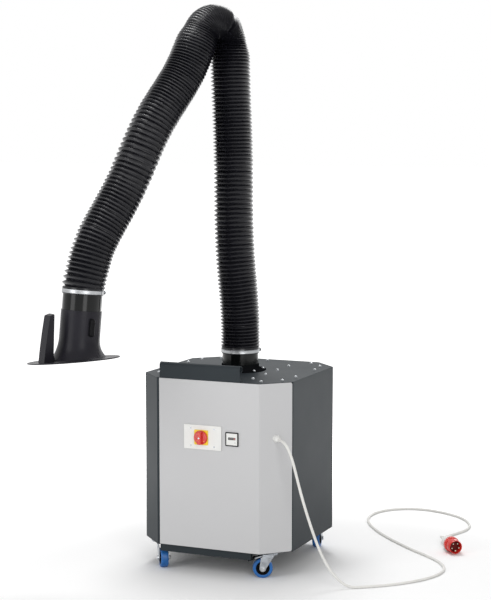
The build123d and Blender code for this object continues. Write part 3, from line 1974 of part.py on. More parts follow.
def all_nodes():
    """Every node by name, about the swivel axis with the floor at zero."""
    nodes = {
        "base_frame": base_frame(),
        "cabinet_wrap": cabinet_wrap(),
        "front_panel": front_panel(),
        "top_plate": top_plate(),
        "handle_rail": handle_rail(),
        "cabinet_screws": cabinet_screws(),
        "switch_plate": switch_plate(),
        "switch_escutcheon": escutcheon(),
        "switch_knob": switch_knob(),
        "switch_body": switch_body(),
        "hour_meter_case": hour_meter_case(),
        "hour_meter_face": hour_meter_face(),
        "cable_gland": cable_gland(),
        "swivel_flange": swivel_flange(),
        "collar_tube": collar_tube(),
        "hose_clamp_base": hose_clamp_base(),
        "shoulder_bracket": shoulder_bracket(),
        "hose_shoulder": hose_shoulder(),
        "lower_arm_tube": lower_arm_tube(),
        "hose_lower": arm_turn(ribbed_hose(lower_start, lower_end, lower_rib_pitch)),
        "elbow_link": elbow_link(),
        "hose_elbow": arm_turn(ribbed_hose(lower_end, upper_start, elbow_rib_pitch)),
        "upper_arm_tube": upper_arm_tube(),
        "hose_upper": arm_turn(ribbed_hose(upper_start, upper_end, upper_rib_pitch)),
        "wrist_bracket": wrist_bracket(),
        "hose_wrist": hose_wrist(),
        "hose_clamp_hood": hose_clamp_hood(),
        "hood_sleeve": hood_sleeve(),
        "hood_shell": hood_shell(),
        "damper_blade": damper_blade(),
        "damper_knob": damper_knob(),
        "inlet_duct": inlet_duct(),
        "filter_frame": filter_frame(),
        "spark_trap": spark_trap(),
        "main_filter": main_filter(),
        "carbon_cell": carbon_cell(),
        "fan_scroll": fan_scroll(),
        "fan_impeller": impeller(),
        "fan_motor": fan_motor(),
        "exhaust_grille": exhaust_grille(),
        "electrical_box": electrical_box(),
        "door_hinges": door_hinges(),
        "filter_door": filter_door(),
        "latch_lower": door_latch(0),
        "latch_upper": door_latch(1),
        "caster_plates": caster_plates(),
        "mains_cord": mains_cord(),
        "plug_body": plug_body(),
        "plug_collar": plug_collar(),
        "plug_pins": plug_pins(),
    }
    for name in caster_headings:
        nodes["fork_" + name] = caster_fork(name)
        nodes["wheel_" + name] = caster_wheel(name)
        if name in braked_casters:
            nodes["pedal_" + name] = brake_pedal(name)
    return nodes


def origin_shift(nodes):
    """Move that puts the middle of the object's floor box on the origin."""
    boxes = [shape.bounding_box() for name, shape in nodes.items() if name not in free_nodes]
    low_x = min(box.min.X for box in boxes)
    high_x = max(box.max.X for box in boxes)
    low_y = min(box.min.Y for box in boxes)
    high_y = max(box.max.Y for box in boxes)
    low_z = min(box.min.Z for box in boxes)
    return Vector(-(low_x + high_x) / 2, -(low_y + high_y) / 2, -low_z)


def main():
    """Writes one file for each node."""
    os.makedirs("parts", exist_ok=True)
    nodes = all_nodes()
    shift = origin_shift(nodes)
    print("shift", shift)
    for name, shape in nodes.items():
        export_step(Pos(shift) * shape, "parts/" + name + ".step")


main()
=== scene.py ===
"""Looks of a mobile welding fume extractor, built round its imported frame.

Lengths in the sub-assembly classes are millimetres about the arm's swivel axis with the
floor at zero, as in the drawing of the object. `Site` turns them into metres in the
frame's own coordinates.
"""

from __future__ import annotations

import json
import logging
import math
import random
from collections.abc import Callable, Sequence
from dataclasses import dataclass
from enum import Enum

import bmesh
import bpy
import numpy as np
from mathutils import Matrix, Vector

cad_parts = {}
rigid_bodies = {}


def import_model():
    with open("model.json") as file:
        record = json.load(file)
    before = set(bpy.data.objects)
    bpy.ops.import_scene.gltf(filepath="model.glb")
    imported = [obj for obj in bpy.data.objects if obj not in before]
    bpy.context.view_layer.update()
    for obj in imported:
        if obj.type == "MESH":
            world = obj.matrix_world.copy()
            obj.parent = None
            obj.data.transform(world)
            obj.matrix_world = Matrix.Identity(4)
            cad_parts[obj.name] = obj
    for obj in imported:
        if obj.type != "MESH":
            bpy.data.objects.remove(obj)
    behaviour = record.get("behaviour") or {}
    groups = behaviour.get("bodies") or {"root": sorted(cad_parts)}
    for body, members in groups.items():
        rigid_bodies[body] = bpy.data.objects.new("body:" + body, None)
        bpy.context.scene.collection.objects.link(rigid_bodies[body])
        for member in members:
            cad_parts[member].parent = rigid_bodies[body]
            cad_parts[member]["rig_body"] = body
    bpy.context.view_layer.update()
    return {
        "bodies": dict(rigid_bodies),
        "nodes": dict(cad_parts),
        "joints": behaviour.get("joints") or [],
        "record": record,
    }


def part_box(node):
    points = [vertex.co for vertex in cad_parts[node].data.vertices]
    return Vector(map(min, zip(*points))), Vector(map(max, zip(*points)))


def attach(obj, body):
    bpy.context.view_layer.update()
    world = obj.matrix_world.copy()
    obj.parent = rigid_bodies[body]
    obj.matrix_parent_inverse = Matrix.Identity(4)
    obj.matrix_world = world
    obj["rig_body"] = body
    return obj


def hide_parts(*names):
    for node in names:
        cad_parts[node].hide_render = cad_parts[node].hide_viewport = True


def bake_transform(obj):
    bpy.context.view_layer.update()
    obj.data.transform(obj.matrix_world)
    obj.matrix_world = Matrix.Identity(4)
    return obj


LOG = logging.getLogger("fume_extractor")
MM = 0.001
IMAGE_HEIGHT = 600
SHARP_ANGLE = math.radians(38)
FLAT_ANGLE = math.radians(1.2)
WELD_MM = 0.002
SPECK_MM = 0.001
# Radius of a turned point that lies on the axis: just above zero, so its ring stays whole.
ON_AXIS = 0.01
FLUTE_STEPS = 8
# Part of the coarse noise's range that the mottle is spread over.
BLOTCH_RANGE = (0.3, 0.7)
SMOOTHEST = 0.02
BLOTCH_DETAIL = 3.0
GRAIN_DETAIL = 2.0
BRUSHED_STRETCH = (0.06, 0.06, 1.0)
# Step of the coordinate over one band of a wave texture at scale 1.
WAVE_PERIOD = math.pi / 10

Point2 = tuple[float, float]
Point3 = tuple[float, float, float]
Profile = tuple[Point2, ...]
Tree = bpy.types.NodeTree
Socket = bpy.types.NodeSocket


class Caps(Enum):
    """What closes a row of rings."""

    OPEN = "open"
    FLAT = "flat"
    LOOP = "loop"


class Grain(Enum):
    """Kind of fine surface pattern."""

    PEEL = "orange peel"
    BRUSHED = "brushed lines"
    WEAVE = "weave"
    CRYSTAL = "crystals"
    GRANULES = "granules"
    LATTICE = "wire lattice"


# Colour and material nodes


def linear(hex_colour: str) -> tuple[float, float, float, float]:
    """Turns an sRGB hex colour into the linear values that shaders take.

    Args:
        hex_colour: colour as "#RRGGBB".

    Returns:
        Linear red, green and blue, and full alpha.
    """
    values = []
    for start in (1, 3, 5):
        share = int(hex_colour[start : start + 2], 16) / 255
        values.append(share / 12.92 if share <= 0.04045 else ((share + 0.055) / 1.055) ** 2.4)
    return values[0], values[1], values[2], 1.0


def add_node(
    tree: Tree, kind: str, inputs: dict[str | int, object] | None = None, **settings: object
) -> bpy.types.Node:
    """Adds one node with its settings and links.

    Args:
        tree: node tree that takes the node.
        kind: type name of the node.
        inputs: constants, or output sockets to link, by input name or number.
        **settings: properties of the node by name.

    Returns:
        The new node.
    """
    node = tree.nodes.new(kind)
    for name, value in settings.items():
        setattr(node, name, value)
    for key, value in (inputs or {}).items():
        if isinstance(value, Socket):
            tree.links.new(value, node.inputs[key])
        else:
            node.inputs[key].default_value = value
    return node


def map_range(
    tree: Tree, value: Socket, source: Point2, target: Point2, curve: str = "LINEAR"
) -> Socket:
    """Maps one range of a value onto another.

    Args:
        tree: node tree that takes the node.
        value: the value.
        source: ends of its range.
        target: ends of the new range.
        curve: name of the interpolation.

    Returns:
        The new value.
    """
    ends = dict(zip(("From Min", "From Max", "To Min", "To Max"), source + target))
    node = add_node(tree, "ShaderNodeMapRange", {"Value": value, **ends}, interpolation_type=curve)
    return node.outputs["Result"]


def joined(tree: Tree, operation: str, first: Socket, second: Socket) -> Socket:
    """Joins two values by a named operation."""
    node = add_node(tree, "ShaderNodeMath", {0: first, 1: second}, operation=operation)
    return node.outputs["Value"]


def mixed(tree: Tree, share: Socket, first: object, second: object) -> Socket:
    """Mixes two colours, each a constant or a socket."""
    ends = {0: share, 6: first, 7: second}
    return add_node(tree, "ShaderNodeMix", ends, data_type="RGBA").outputs[2]


@dataclass(frozen=True)
class Finish:
    """Surface of one substance: its colour, gloss and fine pattern.

    The grain size and depth are real sizes in millimetres. Mottle is the slow change of
    colour and gloss over a surface, which dust, handling and uneven coating leave.
    """

    name: str
    slot: str
    colour: str
    roughness: float
    grain: Grain = Grain.PEEL
    grain_mm: float = 1.2
    grain_depth_mm: float = 0.02
    mottle: float = 0.06
    mottle_mm: float = 90.0
    roughness_spread: float = 0.05
    metallic: float = 0.0
    specular: float = 0.5
    coat: float = 0.0
    coat_roughness: float = 0.12
    sheen: float = 0.0
    second_tone_and_gap_shade: str = ""

    def material(self) -> bpy.types.Material:
        """The finish as a node material, made once."""
        return bpy.data.materials.get(self.name) or self.build()

    def build(self) -> bpy.types.Material:
        """Builds the node material.

        Returns:
            The new material.
        """
        material = bpy.data.materials.new(self.name)
        material.use_nodes = True
        tree = material.node_tree
        tree.nodes.clear()
        place = add_node(tree, "ShaderNodeTexCoord").outputs["Object"]
        height, tone = self.pattern(tree, place)
        noise = {"Vector": place, "Scale": 1 / (self.mottle_mm * MM), "Detail": BLOTCH_DETAIL}
        blotch = add_node(tree, "ShaderNodeTexNoise", noise).outputs["Fac"]
        value = map_range(tree, blotch, BLOTCH_RANGE, (1 - self.mottle, 1 + self.mottle))
        shade = {"Color": linear(self.colour), "Value": value}
        colour = add_node(tree, "ShaderNodeHueSaturation", shade).outputs["Color"]
        # Second colour: each granule's own grey on carbon, and painted shade in the gaps of the
        # wire lattice.
        if self.second_tone_and_gap_shade:
            colour = mixed(tree, tone, colour, linear(self.second_tone_and_gap_shade))
        glossiest = max(SMOOTHEST, self.roughness - self.roughness_spread)
        dullest = self.roughness + self.roughness_spread
        relief = {"Height": height, "Distance": self.grain_depth_mm * MM, "Strength": 1.0}
        surface = {
            "Base Color": colour,
            "Roughness": map_range(tree, blotch, BLOTCH_RANGE, (glossiest, dullest)),
            "Normal": add_node(tree, "ShaderNodeBump", relief).outputs["Normal"],
            "Metallic": self.metallic,
            "Coat Weight": self.coat,
            "Coat Roughness": self.coat_roughness,
            "Sheen Weight": self.sheen,
        }
        if not self.metallic:
            surface["Specular IOR Level"] = self.specular
        shader = add_node(tree, "ShaderNodeBsdfPrincipled", surface)
        add_node(tree, "ShaderNodeOutputMaterial", {"Surface": shader.outputs["BSDF"]})
        return material

    def pattern(self, tree: Tree, place: Socket) -> tuple[Socket, Socket]:
        """Adds the fine pattern.

        Args:
            tree: node tree that takes the pattern.
            place: coordinates of the surface.

        Returns:
            Height of the surface, and the share of the second colour, which is each granule's own
            grey on carbon and painted shade in the gaps on the wire lattice.
        """
        scale = 1 / (self.grain_mm * MM)
        if self.grain is Grain.BRUSHED:
            stretch = {"Vector": place, "Scale": BRUSHED_STRETCH}
            place = add_node(tree, "ShaderNodeMapping", stretch).outputs["Vector"]
        if self.grain in (Grain.PEEL, Grain.BRUSHED):
            noise = {"Vector": place, "Scale": scale, "Detail": GRAIN_DETAIL, "Roughness": 0.5}
            height = add_node(tree, "ShaderNodeTexNoise", noise).outputs["Fac"]
            return height, height
        if self.grain in (Grain.CRYSTAL, Grain.GRANULES):
            cells = add_node(tree, "ShaderNodeTexVoronoi", {"Vector": place, "Scale": scale})
            parts = add_node(tree, "ShaderNodeSeparateColor", {"Color": cells.outputs["Color"]})
            flat = parts.outputs["Red"]
            return (flat if self.grain is Grain.CRYSTAL else cells.outputs["Distance"]), flat
        wave = {"Vector": place, "Scale": scale * WAVE_PERIOD}
        waves = [
            add_node(tree, "ShaderNodeTexWave", wave, bands_direction=way).outputs["Fac"]
            for way in ("X", "Y", "Z")
        ]
        weave = self.grain is Grain.WEAVE
        first = joined(tree, "MULTIPLY" if weave else "MAXIMUM", waves[0], waves[1])
        total = joined(tree, "ADD" if weave else "MAXIMUM", first, waves[2])
        return total, total


# Structured polyester powder coat on sheet steel: a fine peel breaks highlights into a
# soft satin, and the dark tone takes up the pale floor towards the bottom.
ANTHRACITE = Finish(
    "anthracite_powder_coat", "side_paint", "#2B3135", 0.5, grain_mm=1.6, grain_depth_mm=0.05,
    mottle=0.03, mottle_mm=160.0, specular=0.16, roughness_spread=0.02,
)
# The same coat in light grey, a little smoother.
LIGHT_GREY = Finish(
    "light_grey_powder_coat", "panel_paint", "#C6C6C7", 0.42, grain_mm=1.6,
    grain_depth_mm=0.04, mottle=0.008, mottle_mm=200.0, roughness_spread=0.015, specular=0.4,
)
# Black enamel over drawn steel tube: sharp long reflections with a slight ripple.
BLACK_ENAMEL = Finish(
    "black_enamel", "black_paint", "#0B0D0D", 0.14, grain_mm=9.0, grain_depth_mm=0.06,
    mottle=0.12, specular=0.24, roughness_spread=0.03,
)
# Black powder coat on cut plate: dead matt, so that it stays black seen from low down.
MATT_BLACK = Finish(
    "matt_black_powder_coat", "black_paint", "#17181A", 0.7, grain_depth_mm=0.04,
    specular=0.0, roughness_spread=0.03,
)
# Zinc-plated steel: bluish grey with soft patches of duller plating.
ZINC = Finish(
    "zinc_plated_steel", "zinc", "#A9ADB2", 0.34, Grain.CRYSTAL, grain_mm=2.4,
    grain_depth_mm=0.01, mottle=0.14, mottle_mm=25.0, metallic=1.0, roughness_spread=0.1,
)
# Bright zinc of small screws, polished by the driver: each head catches the top light.
SCREW_ZINC = Finish(
    "bright_zinc_plated_steel", "zinc", "#C6C9CC", 0.26, Grain.CRYSTAL,
    grain_depth_mm=0.005, mottle=0.08, mottle_mm=9.0, metallic=1.0,
)
# Rolled stainless band: bright, with lines along the band.
STAINLESS = Finish(
    "rolled_stainless_steel", "clamp_steel", "#A4A6A8", 0.34, Grain.BRUSHED, grain_mm=0.8,
    mottle_mm=30.0, metallic=1.0, roughness_spread=0.06,
)
# Turned and stamped bare steel: greyer and duller than plating.
BARE_STEEL = Finish(
    "bare_steel", "bare_steel", "#9C9EA1", 0.38, Grain.BRUSHED, grain_mm=1.0, mottle=0.12,
    mottle_mm=40.0, metallic=1.0, roughness_spread=0.08,
)
# Coated fabric hose: black with silky highlights along each rib, broken up by a fine
# peel, and duller patches where the folds rub.
HOSE_SKIN = Finish(
    "coated_hose_fabric", "hose_rubber", "#141419", 0.24, grain_mm=2.2, grain_depth_mm=0.05,
    mottle=0.12, mottle_mm=22.0, specular=0.3, roughness_spread=0.04,
)
# Rotomoulded polyethylene: near black with a violet cast, satin, with a fine mould grain.
HOOD_SHELL = Finish(
    "moulded_polyethylene_black", "hood_plastic", "#201F25", 0.34, grain_mm=1.1,
    grain_depth_mm=0.05, mottle=0.1, specular=0.14,
)
# Glass-filled nylon, black: dull, with a grain that stops any clear reflection.
BLACK_NYLON = Finish(
    "glass_filled_nylon_black", "black_plastic", "#0D0D0F", 0.5, grain_mm=0.8,
    grain_depth_mm=0.03, mottle=0.08, specular=0.1,
)
# Moulded ABS, white: smooth, slightly warm.
WHITE_ABS = Finish(
    "moulded_abs_white", "white_plastic", "#E9E9E6", 0.36, grain_mm=0.9,
    grain_depth_mm=0.015, mottle=0.02,
)
# Moulded ABS, signal yellow: even and strong, with a soft sheen.
YELLOW_ABS = Finish(
    "moulded_abs_yellow", "yellow_plastic", "#F4CE1C", 0.3, grain_mm=0.9,
    grain_depth_mm=0.015, mottle=0.03,
)
# Moulded ABS, orange: the knob's two index marks, a little duller than the yellow.
ORANGE_ABS = Finish(
    "moulded_abs_orange", "yellow_plastic", "#F0902A", 0.35, grain_mm=0.9,
    grain_depth_mm=0.012, mottle=0.03,
)
# Moulded polycarbonate, signal red: glossy, with deep colour in the hollows.
RED_POLYCARBONATE = Finish(
    "moulded_polycarbonate_red", "red_plastic", "#D42A1E", 0.24, grain_mm=0.9,
    grain_depth_mm=0.012, mottle=0.05, coat=0.2,
)
# The same plastic inside the plug, where little light gets in: its red is darkened with painted
# shade to a deep brownish red.
RED_POLYCARBONATE_PAINTED_SHADE = Finish(
    "moulded_polycarbonate_red_painted_shade", "red_plastic", "#6A1613", 0.4, grain_depth_mm=0.03,
    specular=0.2,
)
# Recycled ABS of a terminal box: a flat mid grey.
GREY_ABS = Finish("moulded_abs_grey", "grey_plastic", "#8D8F91", 0.45, grain_depth_mm=0.03)
# Soft PVC cord sheath, white: a dull skin with faint drawing marks.
CORD_PVC = Finish(
    "soft_pvc_white", "cord_white", "#E4E3DF", 0.44, grain_mm=1.5, mottle=0.04, mottle_mm=60.0,
)
# Nickel-plated brass of the plug's pins: pale yellow and bright.
PIN_BRASS = Finish(
    "plated_brass", "pin_brass", "#D9D3BD", 0.2, grain_mm=0.6, grain_depth_mm=0.005,
    metallic=1.0,
)
# Cast polyurethane tyre, blue: dull skin with scuffs.
BLUE_TYRE = Finish(
    "cast_polyurethane_blue", "tyre_blue", "#1C62A8", 0.5, grain_mm=1.0,
    grain_depth_mm=0.05, mottle=0.14, mottle_mm=14.0, roughness_spread=0.1,
)
# Needled polyester filter fleece: matt off-white with visible fibres.
FILTER_FLEECE = Finish(
    "needled_filter_fleece", "filter_media", "#E3E1D6", 0.9, Grain.WEAVE, grain_mm=2.0,
    grain_depth_mm=0.3, sheen=0.3,
)
# Bed of activated carbon: black granules, each with its own grey.
CARBON_BED = Finish(
    "activated_carbon", "carbon_media", "#1C1C1C", 0.7, Grain.GRANULES, grain_mm=4.0,
    grain_depth_mm=1.2, mottle=0.2, second_tone_and_gap_shade="#303030",
)
# Knitted aluminium wire of the spark trap: bright strands, with painted shade in the gaps between
# them.
WIRE_MESH = Finish(
    "knitted_aluminium_wire", "mesh_aluminium", "#B9BBBE", 0.35, Grain.LATTICE,
    grain_mm=5.0, grain_depth_mm=0.8, metallic=1.0, second_tone_and_gap_shade="#3A3B3D",
)
# Die-cast aluminium of the motor under grey-blue paint: a coarse cast skin shows through.
MOTOR_PAINT = Finish(
    "painted_die_casting", "motor_cast", "#56606B", 0.4, grain_mm=2.5, grain_depth_mm=0.1
)

# Heading of each caster in degrees, and whether it has a brake.
CASTERS = {
    "front_left": (305.0, False),
    "front_right": (203.5, True),
    "rear_left": (35.0, True),
    "rear_right": (101.0, False),
}

# Which finish each drawn node takes, and how far its edges are rounded in millimetres.
# None leaves the drawn mesh as it is, which suits hidden pieces.
DRESSED_NODES: dict[str, tuple[Finish, float | None]] = {
    "base_frame": (ANTHRACITE, 0.6),
    "cabinet_wrap": (ANTHRACITE, 0.7),
    "front_panel": (LIGHT_GREY, 0.7),
    "top_plate": (ANTHRACITE, 0.7),
    "handle_rail": (ANTHRACITE, 0.5),
    "switch_plate": (WHITE_ABS, 1.0),
    "switch_escutcheon": (YELLOW_ABS, 0.6),
    "switch_knob": (RED_POLYCARBONATE, 0.7),
    "switch_body": (BLACK_NYLON, None),
    "hour_meter_case": (BLACK_NYLON, 0.6),
    "hour_meter_face": (WHITE_ABS, None),
    "swivel_flange": (MATT_BLACK, 0.5),
    "collar_tube": (BLACK_ENAMEL, 0.4),
    "shoulder_bracket": (ZINC, 0.5),
    "lower_arm_tube": (BLACK_ENAMEL, 0.5),
    "elbow_link": (ZINC, 0.5),
    "upper_arm_tube": (BLACK_ENAMEL, 0.5),
    "wrist_bracket": (ZINC, 0.5),
    "hood_sleeve": (BLACK_ENAMEL, 0.5),
    "hood_shell": (HOOD_SHELL, 0.8),
    "damper_blade": (ZINC, 0.4),
    "damper_knob": (BLACK_NYLON, 0.8),
    "inlet_duct": (ZINC, None),
    "filter_frame": (ZINC, None),
    "spark_trap": (WIRE_MESH, None),
    "main_filter": (FILTER_FLEECE, None),
    "carbon_cell": (CARBON_BED, None),
    "fan_scroll": (ZINC, None),
    "fan_impeller": (BARE_STEEL, None),
    "fan_motor": (MOTOR_PAINT, None),
    "exhaust_grille": (ANTHRACITE, 0.5),
    "electrical_box": (GREY_ABS, None),
    "door_hinges": (ZINC, 0.4),
    "filter_door": (ANTHRACITE, 0.8),
    "latch_lower": (BLACK_NYLON, 0.8),
    "latch_upper": (BLACK_NYLON, 0.8),
    "caster_plates": (ZINC, 0.5),
    "plug_body": (WHITE_ABS, 0.8),
    "plug_pins": (PIN_BRASS, 0.6),
    **{"fork_" + name: (ZINC, 0.5) for name in CASTERS},
    **{"pedal_" + name: (ZINC, 0.6) for name, (_, braked) in CASTERS.items() if braked},
}


# Meshes


class Draft:
    """Points and faces of a piece while it is being built, in metres."""

    def __init__(self) -> None:
        """Starts empty."""
        self.points: list[Vector] = []
        self.faces: list[tuple[int, ...]] = []

    def add_rings(self, rings: Sequence[Sequence[Vector]], caps: Caps = Caps.OPEN) -> None:
        """Joins closed rings of points, one to the next, with four-sided faces.

        Args:
            rings: rings with the same number of points each.
            caps: what closes the first and last ring.
        """
        start = len(self.points)
        count = len(rings[0])
        for ring in rings:
            self.points.extend(ring)
        spans = len(rings) if caps is Caps.LOOP else len(rings) - 1
        for i in range(spans):
            first = start + i * count
            second = start + (i + 1) % len(rings) * count
            for j in range(count):
                k = (j + 1) % count
                self.faces.append((first + j, first + k, second + k, second + j))
        if caps is Caps.FLAT:
            last = start + (len(rings) - 1) * count
            self.faces.append(tuple(range(start, start + count))[::-1])
            self.faces.append(tuple(range(last, last + count)))

    def add_turned(
        self, profile: Sequence[Point2], place: Matrix, segments: int = 64,
        caps: Caps = Caps.LOOP, trim: Callable[[float, float, float], float] | None = None,
    ) -> None:
        """Turns a profile about the local Z axis.

        Args:
            profile: radius and height of each point, in millimetres.
            place: frame of the piece, in metres.
            segments: number of steps round the axis.
            caps: what closes the row of rings.
            trim: how much is cut off the radius at a radius, height and angle.
        """
        rings = []
        for radius, height in profile:
            ring = []
            for step in range(segments):
                turn = math.tau * step / segments
                reach = radius - (trim(radius, height, turn) if trim else 0.0)
                local = Vector((reach * math.cos(turn), reach * math.sin(turn), height))
                ring.append(place @ (local * MM))
            rings.append(ring)
        self.add_rings(rings, caps)

    def add_prism(self, outline: Sequence[Point2], low: float, high: float, place: Matrix) -> None:
        """Upright prism over an outline.

        Args:
            outline: local x and y of each corner, in millimetres.
            low: height of the lower face.
            high: height of the upper face.
            place: frame of the piece, in metres.
        """
        rings = [[place @ (Vector((x, y, z)) * MM) for x, y in outline] for z in (low, high)]
        self.add_rings(rings, Caps.FLAT)

    def piece(self, name: str, finish: Finish, bevel: float = 0.0) -> bpy.types.Object:
        """Makes the object.

        Args:
            name: name of the piece.
            finish: its surface.
            bevel: radius of its sharp edges in millimetres.

        Returns:
            The linked object.
        """
        mesh = bpy.data.meshes.new(name)
        mesh.from_pydata([tuple(p) for p in self.points], [], self.faces)
        return dressed(name, mesh, finish, bevel)


def dressed(
    name: str, mesh: bpy.types.Mesh, finish: Finish, bevel: float = 0.0
) -> bpy.types.Object:
    """Cleans a mesh, rounds its sharp edges and links it as a piece.

    Args:
        name: name of the piece.
        mesh: its mesh, in metres.
        finish: its surface.
        bevel: radius of its sharp edges in millimetres, or 0.

    Returns:
        The linked object.
    """
    work = bmesh.new()
    work.from_mesh(mesh)
    bmesh.ops.remove_doubles(work, verts=work.verts, dist=WELD_MM * MM)
    bmesh.ops.dissolve_degenerate(work, edges=work.edges, dist=SPECK_MM * MM)
    if bevel:
        bmesh.ops.dissolve_limit(work, angle_limit=FLAT_ANGLE, verts=work.verts, edges=work.edges)
        sharp = [e for e in work.edges if e.is_manifold and e.calc_face_angle() > SHARP_ANGLE]
        bmesh.ops.bevel(
            work, geom=sharp, offset=bevel * MM, offset_type="OFFSET", segments=2, profile=0.5,
            affect="EDGES", clamp_overlap=False,
        )
    bmesh.ops.recalc_face_normals(work, faces=work.faces)
    work.to_mesh(mesh)
    work.free()
    custom = mesh.attributes.get("custom_normal")
    if custom is not None:
        mesh.attributes.remove(custom)
    for polygon in mesh.polygons:
        polygon.use_smooth = True
    mesh.set_sharp_from_angle(angle=SHARP_ANGLE)
    mesh.materials.clear()
    mesh.materials.append(finish.material())
    obj = bpy.data.objects.new(name, mesh)
    bpy.context.scene.collection.objects.link(obj)
    if bevel:
        even = obj.modifiers.new("even_normals", "WEIGHTED_NORMAL")
        even.mode = "FACE_AREA"
        even.weight = 100
        even.keep_sharp = True
    return obj


def rounded(points: Sequence[Point2], radius: float, steps: int = 3) -> list[Point2]:
    """Rounds every corner of a closed outline.

    Args:
        points: corners in order.
        radius: radius at each corner, cut short on short sides.
        steps: points on each rounded corner, less one.

    Returns:
        The new outline.
    """
    longest_share = 0.45
    result: list[Point2] = []
    for index, here in enumerate(points):
        corner = Vector(here)
        before = Vector(points[index - 1]) - corner
        after = Vector(points[(index + 1) % len(points)]) - corner
        full = radius / math.tan(before.angle(after) / 2)
        reach = min(full, before.length * longest_share, after.length * longest_share)
        start = corner + before.normalized() * reach
        end = corner + after.normalized() * reach
        for step in range(steps + 1):
            share = step / steps
            mid = start.lerp(corner, share).lerp(corner.lerp(end, share), share)
            result.append((mid.x, mid.y))
    return result


def rectangle(width: float, height: float) -> list[Point2]:
    """Corners of a rectangle about its middle."""
    w, h = width / 2, height / 2
    return [(-w, -h), (w, -h), (w, h), (-w, h)]


def regular(radius: float, sides: int = 6) -> list[Point2]:
    """Corners of a regular polygon about its middle, the first on X."""
    turns = [math.tau * i / sides for i in range(sides)]
    return [(radius * math.cos(turn), radius * math.sin(turn)) for turn in turns]


def moved(points: Sequence[Point2], right: float = 0.0, up: float = 0.0) -> list[Point2]:
    """An outline moved in its own plane."""
    return [(x + right, y + up) for x, y in points]


# Where things are


def frame_at(spot: Vector, z_dir: Vector, x_dir: Vector) -> Matrix:
    """Frame at a point.

    Args:
        spot: its origin, in metres.
        z_dir: its Z direction.
        x_dir: a direction near its X direction.

    Returns:
        The frame, in metres.
    """
    z_axis = z_dir.normalized()
    x_axis = (x_dir - z_axis * x_dir.dot(z_axis)).normalized()
    matrix = Matrix((x_axis, z_axis.cross(x_axis), z_axis)).transposed().to_4x4()
    matrix.translation = spot
    return matrix


def upright(height: float = 1.0) -> Vector:
    """Vector that points straight up."""
    return Vector((0.0, 0.0, height))


def level(degrees: float) -> Vector:
    """Level direction at an angle from X."""
    turn = math.radians(degrees)
    return Vector((math.cos(turn), math.sin(turn), 0.0))


@dataclass(frozen=True)
class Site:
    """Turns drawing lengths about the swivel axis into the frame's metres."""

    axis: Vector

    @classmethod
    def from_frame(cls) -> Site:
        """Finds the swivel axis as the middle of the collar."""
        low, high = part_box("collar_tube")
        return cls(Vector(((low.x + high.x) / 2, (low.y + high.y) / 2, 0.0)))

    def point(self, x: float, y: float, z: float) -> Vector:
        """Point in metres from millimetres about the axis."""
        return self.axis + Vector((x, y, z)) * MM


@dataclass(frozen=True)
class ArmPlane:
    """The upright plane that the arm lies in at rest."""

    site: Site
    azimuth: float = 240.0

    def side(self) -> Vector:
        """Direction square to the plane."""
        turn = math.radians(self.azimuth)
        return Vector((-math.sin(turn), math.cos(turn), 0.0))

    def point(self, along: float, height: float) -> Vector:
        """Point in metres from millimetres in the plane."""
        return self.site.point(*self.direction(along, height))

    def direction(self, along: float, height: float) -> Vector:
        """Direction from its parts in the plane."""
        return level(self.azimuth) * along + upright(height)


# Camera, light and floor


def seen_rays(tree: Tree) -> Socket:
    """Adds the share of rays that show the background: camera, glossy and transmission.

    Args:
        tree: node tree of the world or of the floor.

    Returns:
        1 for those rays, 0 for the others.
    """
    path = add_node(tree, "ShaderNodeLightPath").outputs
    glossy = joined(tree, "MAXIMUM", path["Is Glossy Ray"], path["Is Transmission Ray"])
    return joined(tree, "MAXIMUM", path["Is Camera Ray"], glossy)


@dataclass(frozen=True)
class SoftBox:
    """Lamp with a rectangular face towards the object.

    The bearing is in degrees from the camera, round to the picture's right. The power is in
    watts, and the lengths are metres from the foot of the swivel axis.
    """

    name: str
    bearing: float
    distance: float
    height: float
    width: float
    tall: float
    power: float

    def build(self, foot: Vector, target: Vector, yaw: float) -> None:
        """Adds the lamp.

        Args:
            foot: foot of the swivel axis.
            target: point that the lamp faces.
            yaw: yaw of the camera in degrees.
        """
        data = bpy.data.lights.new(self.name, "AREA")
        data.shape = "RECTANGLE"
        data.size = self.width
        data.size_y = self.tall
        data.energy = self.power
        lamp = bpy.data.objects.new(self.name, data)
        spot = foot + level(yaw - 90.0 + self.bearing) * self.distance + upright(self.height)
        lamp.location = spot
        lamp.rotation_euler = (target - spot).to_track_quat("-Z", "Y").to_euler()
        bpy.context.scene.collection.objects.link(lamp)


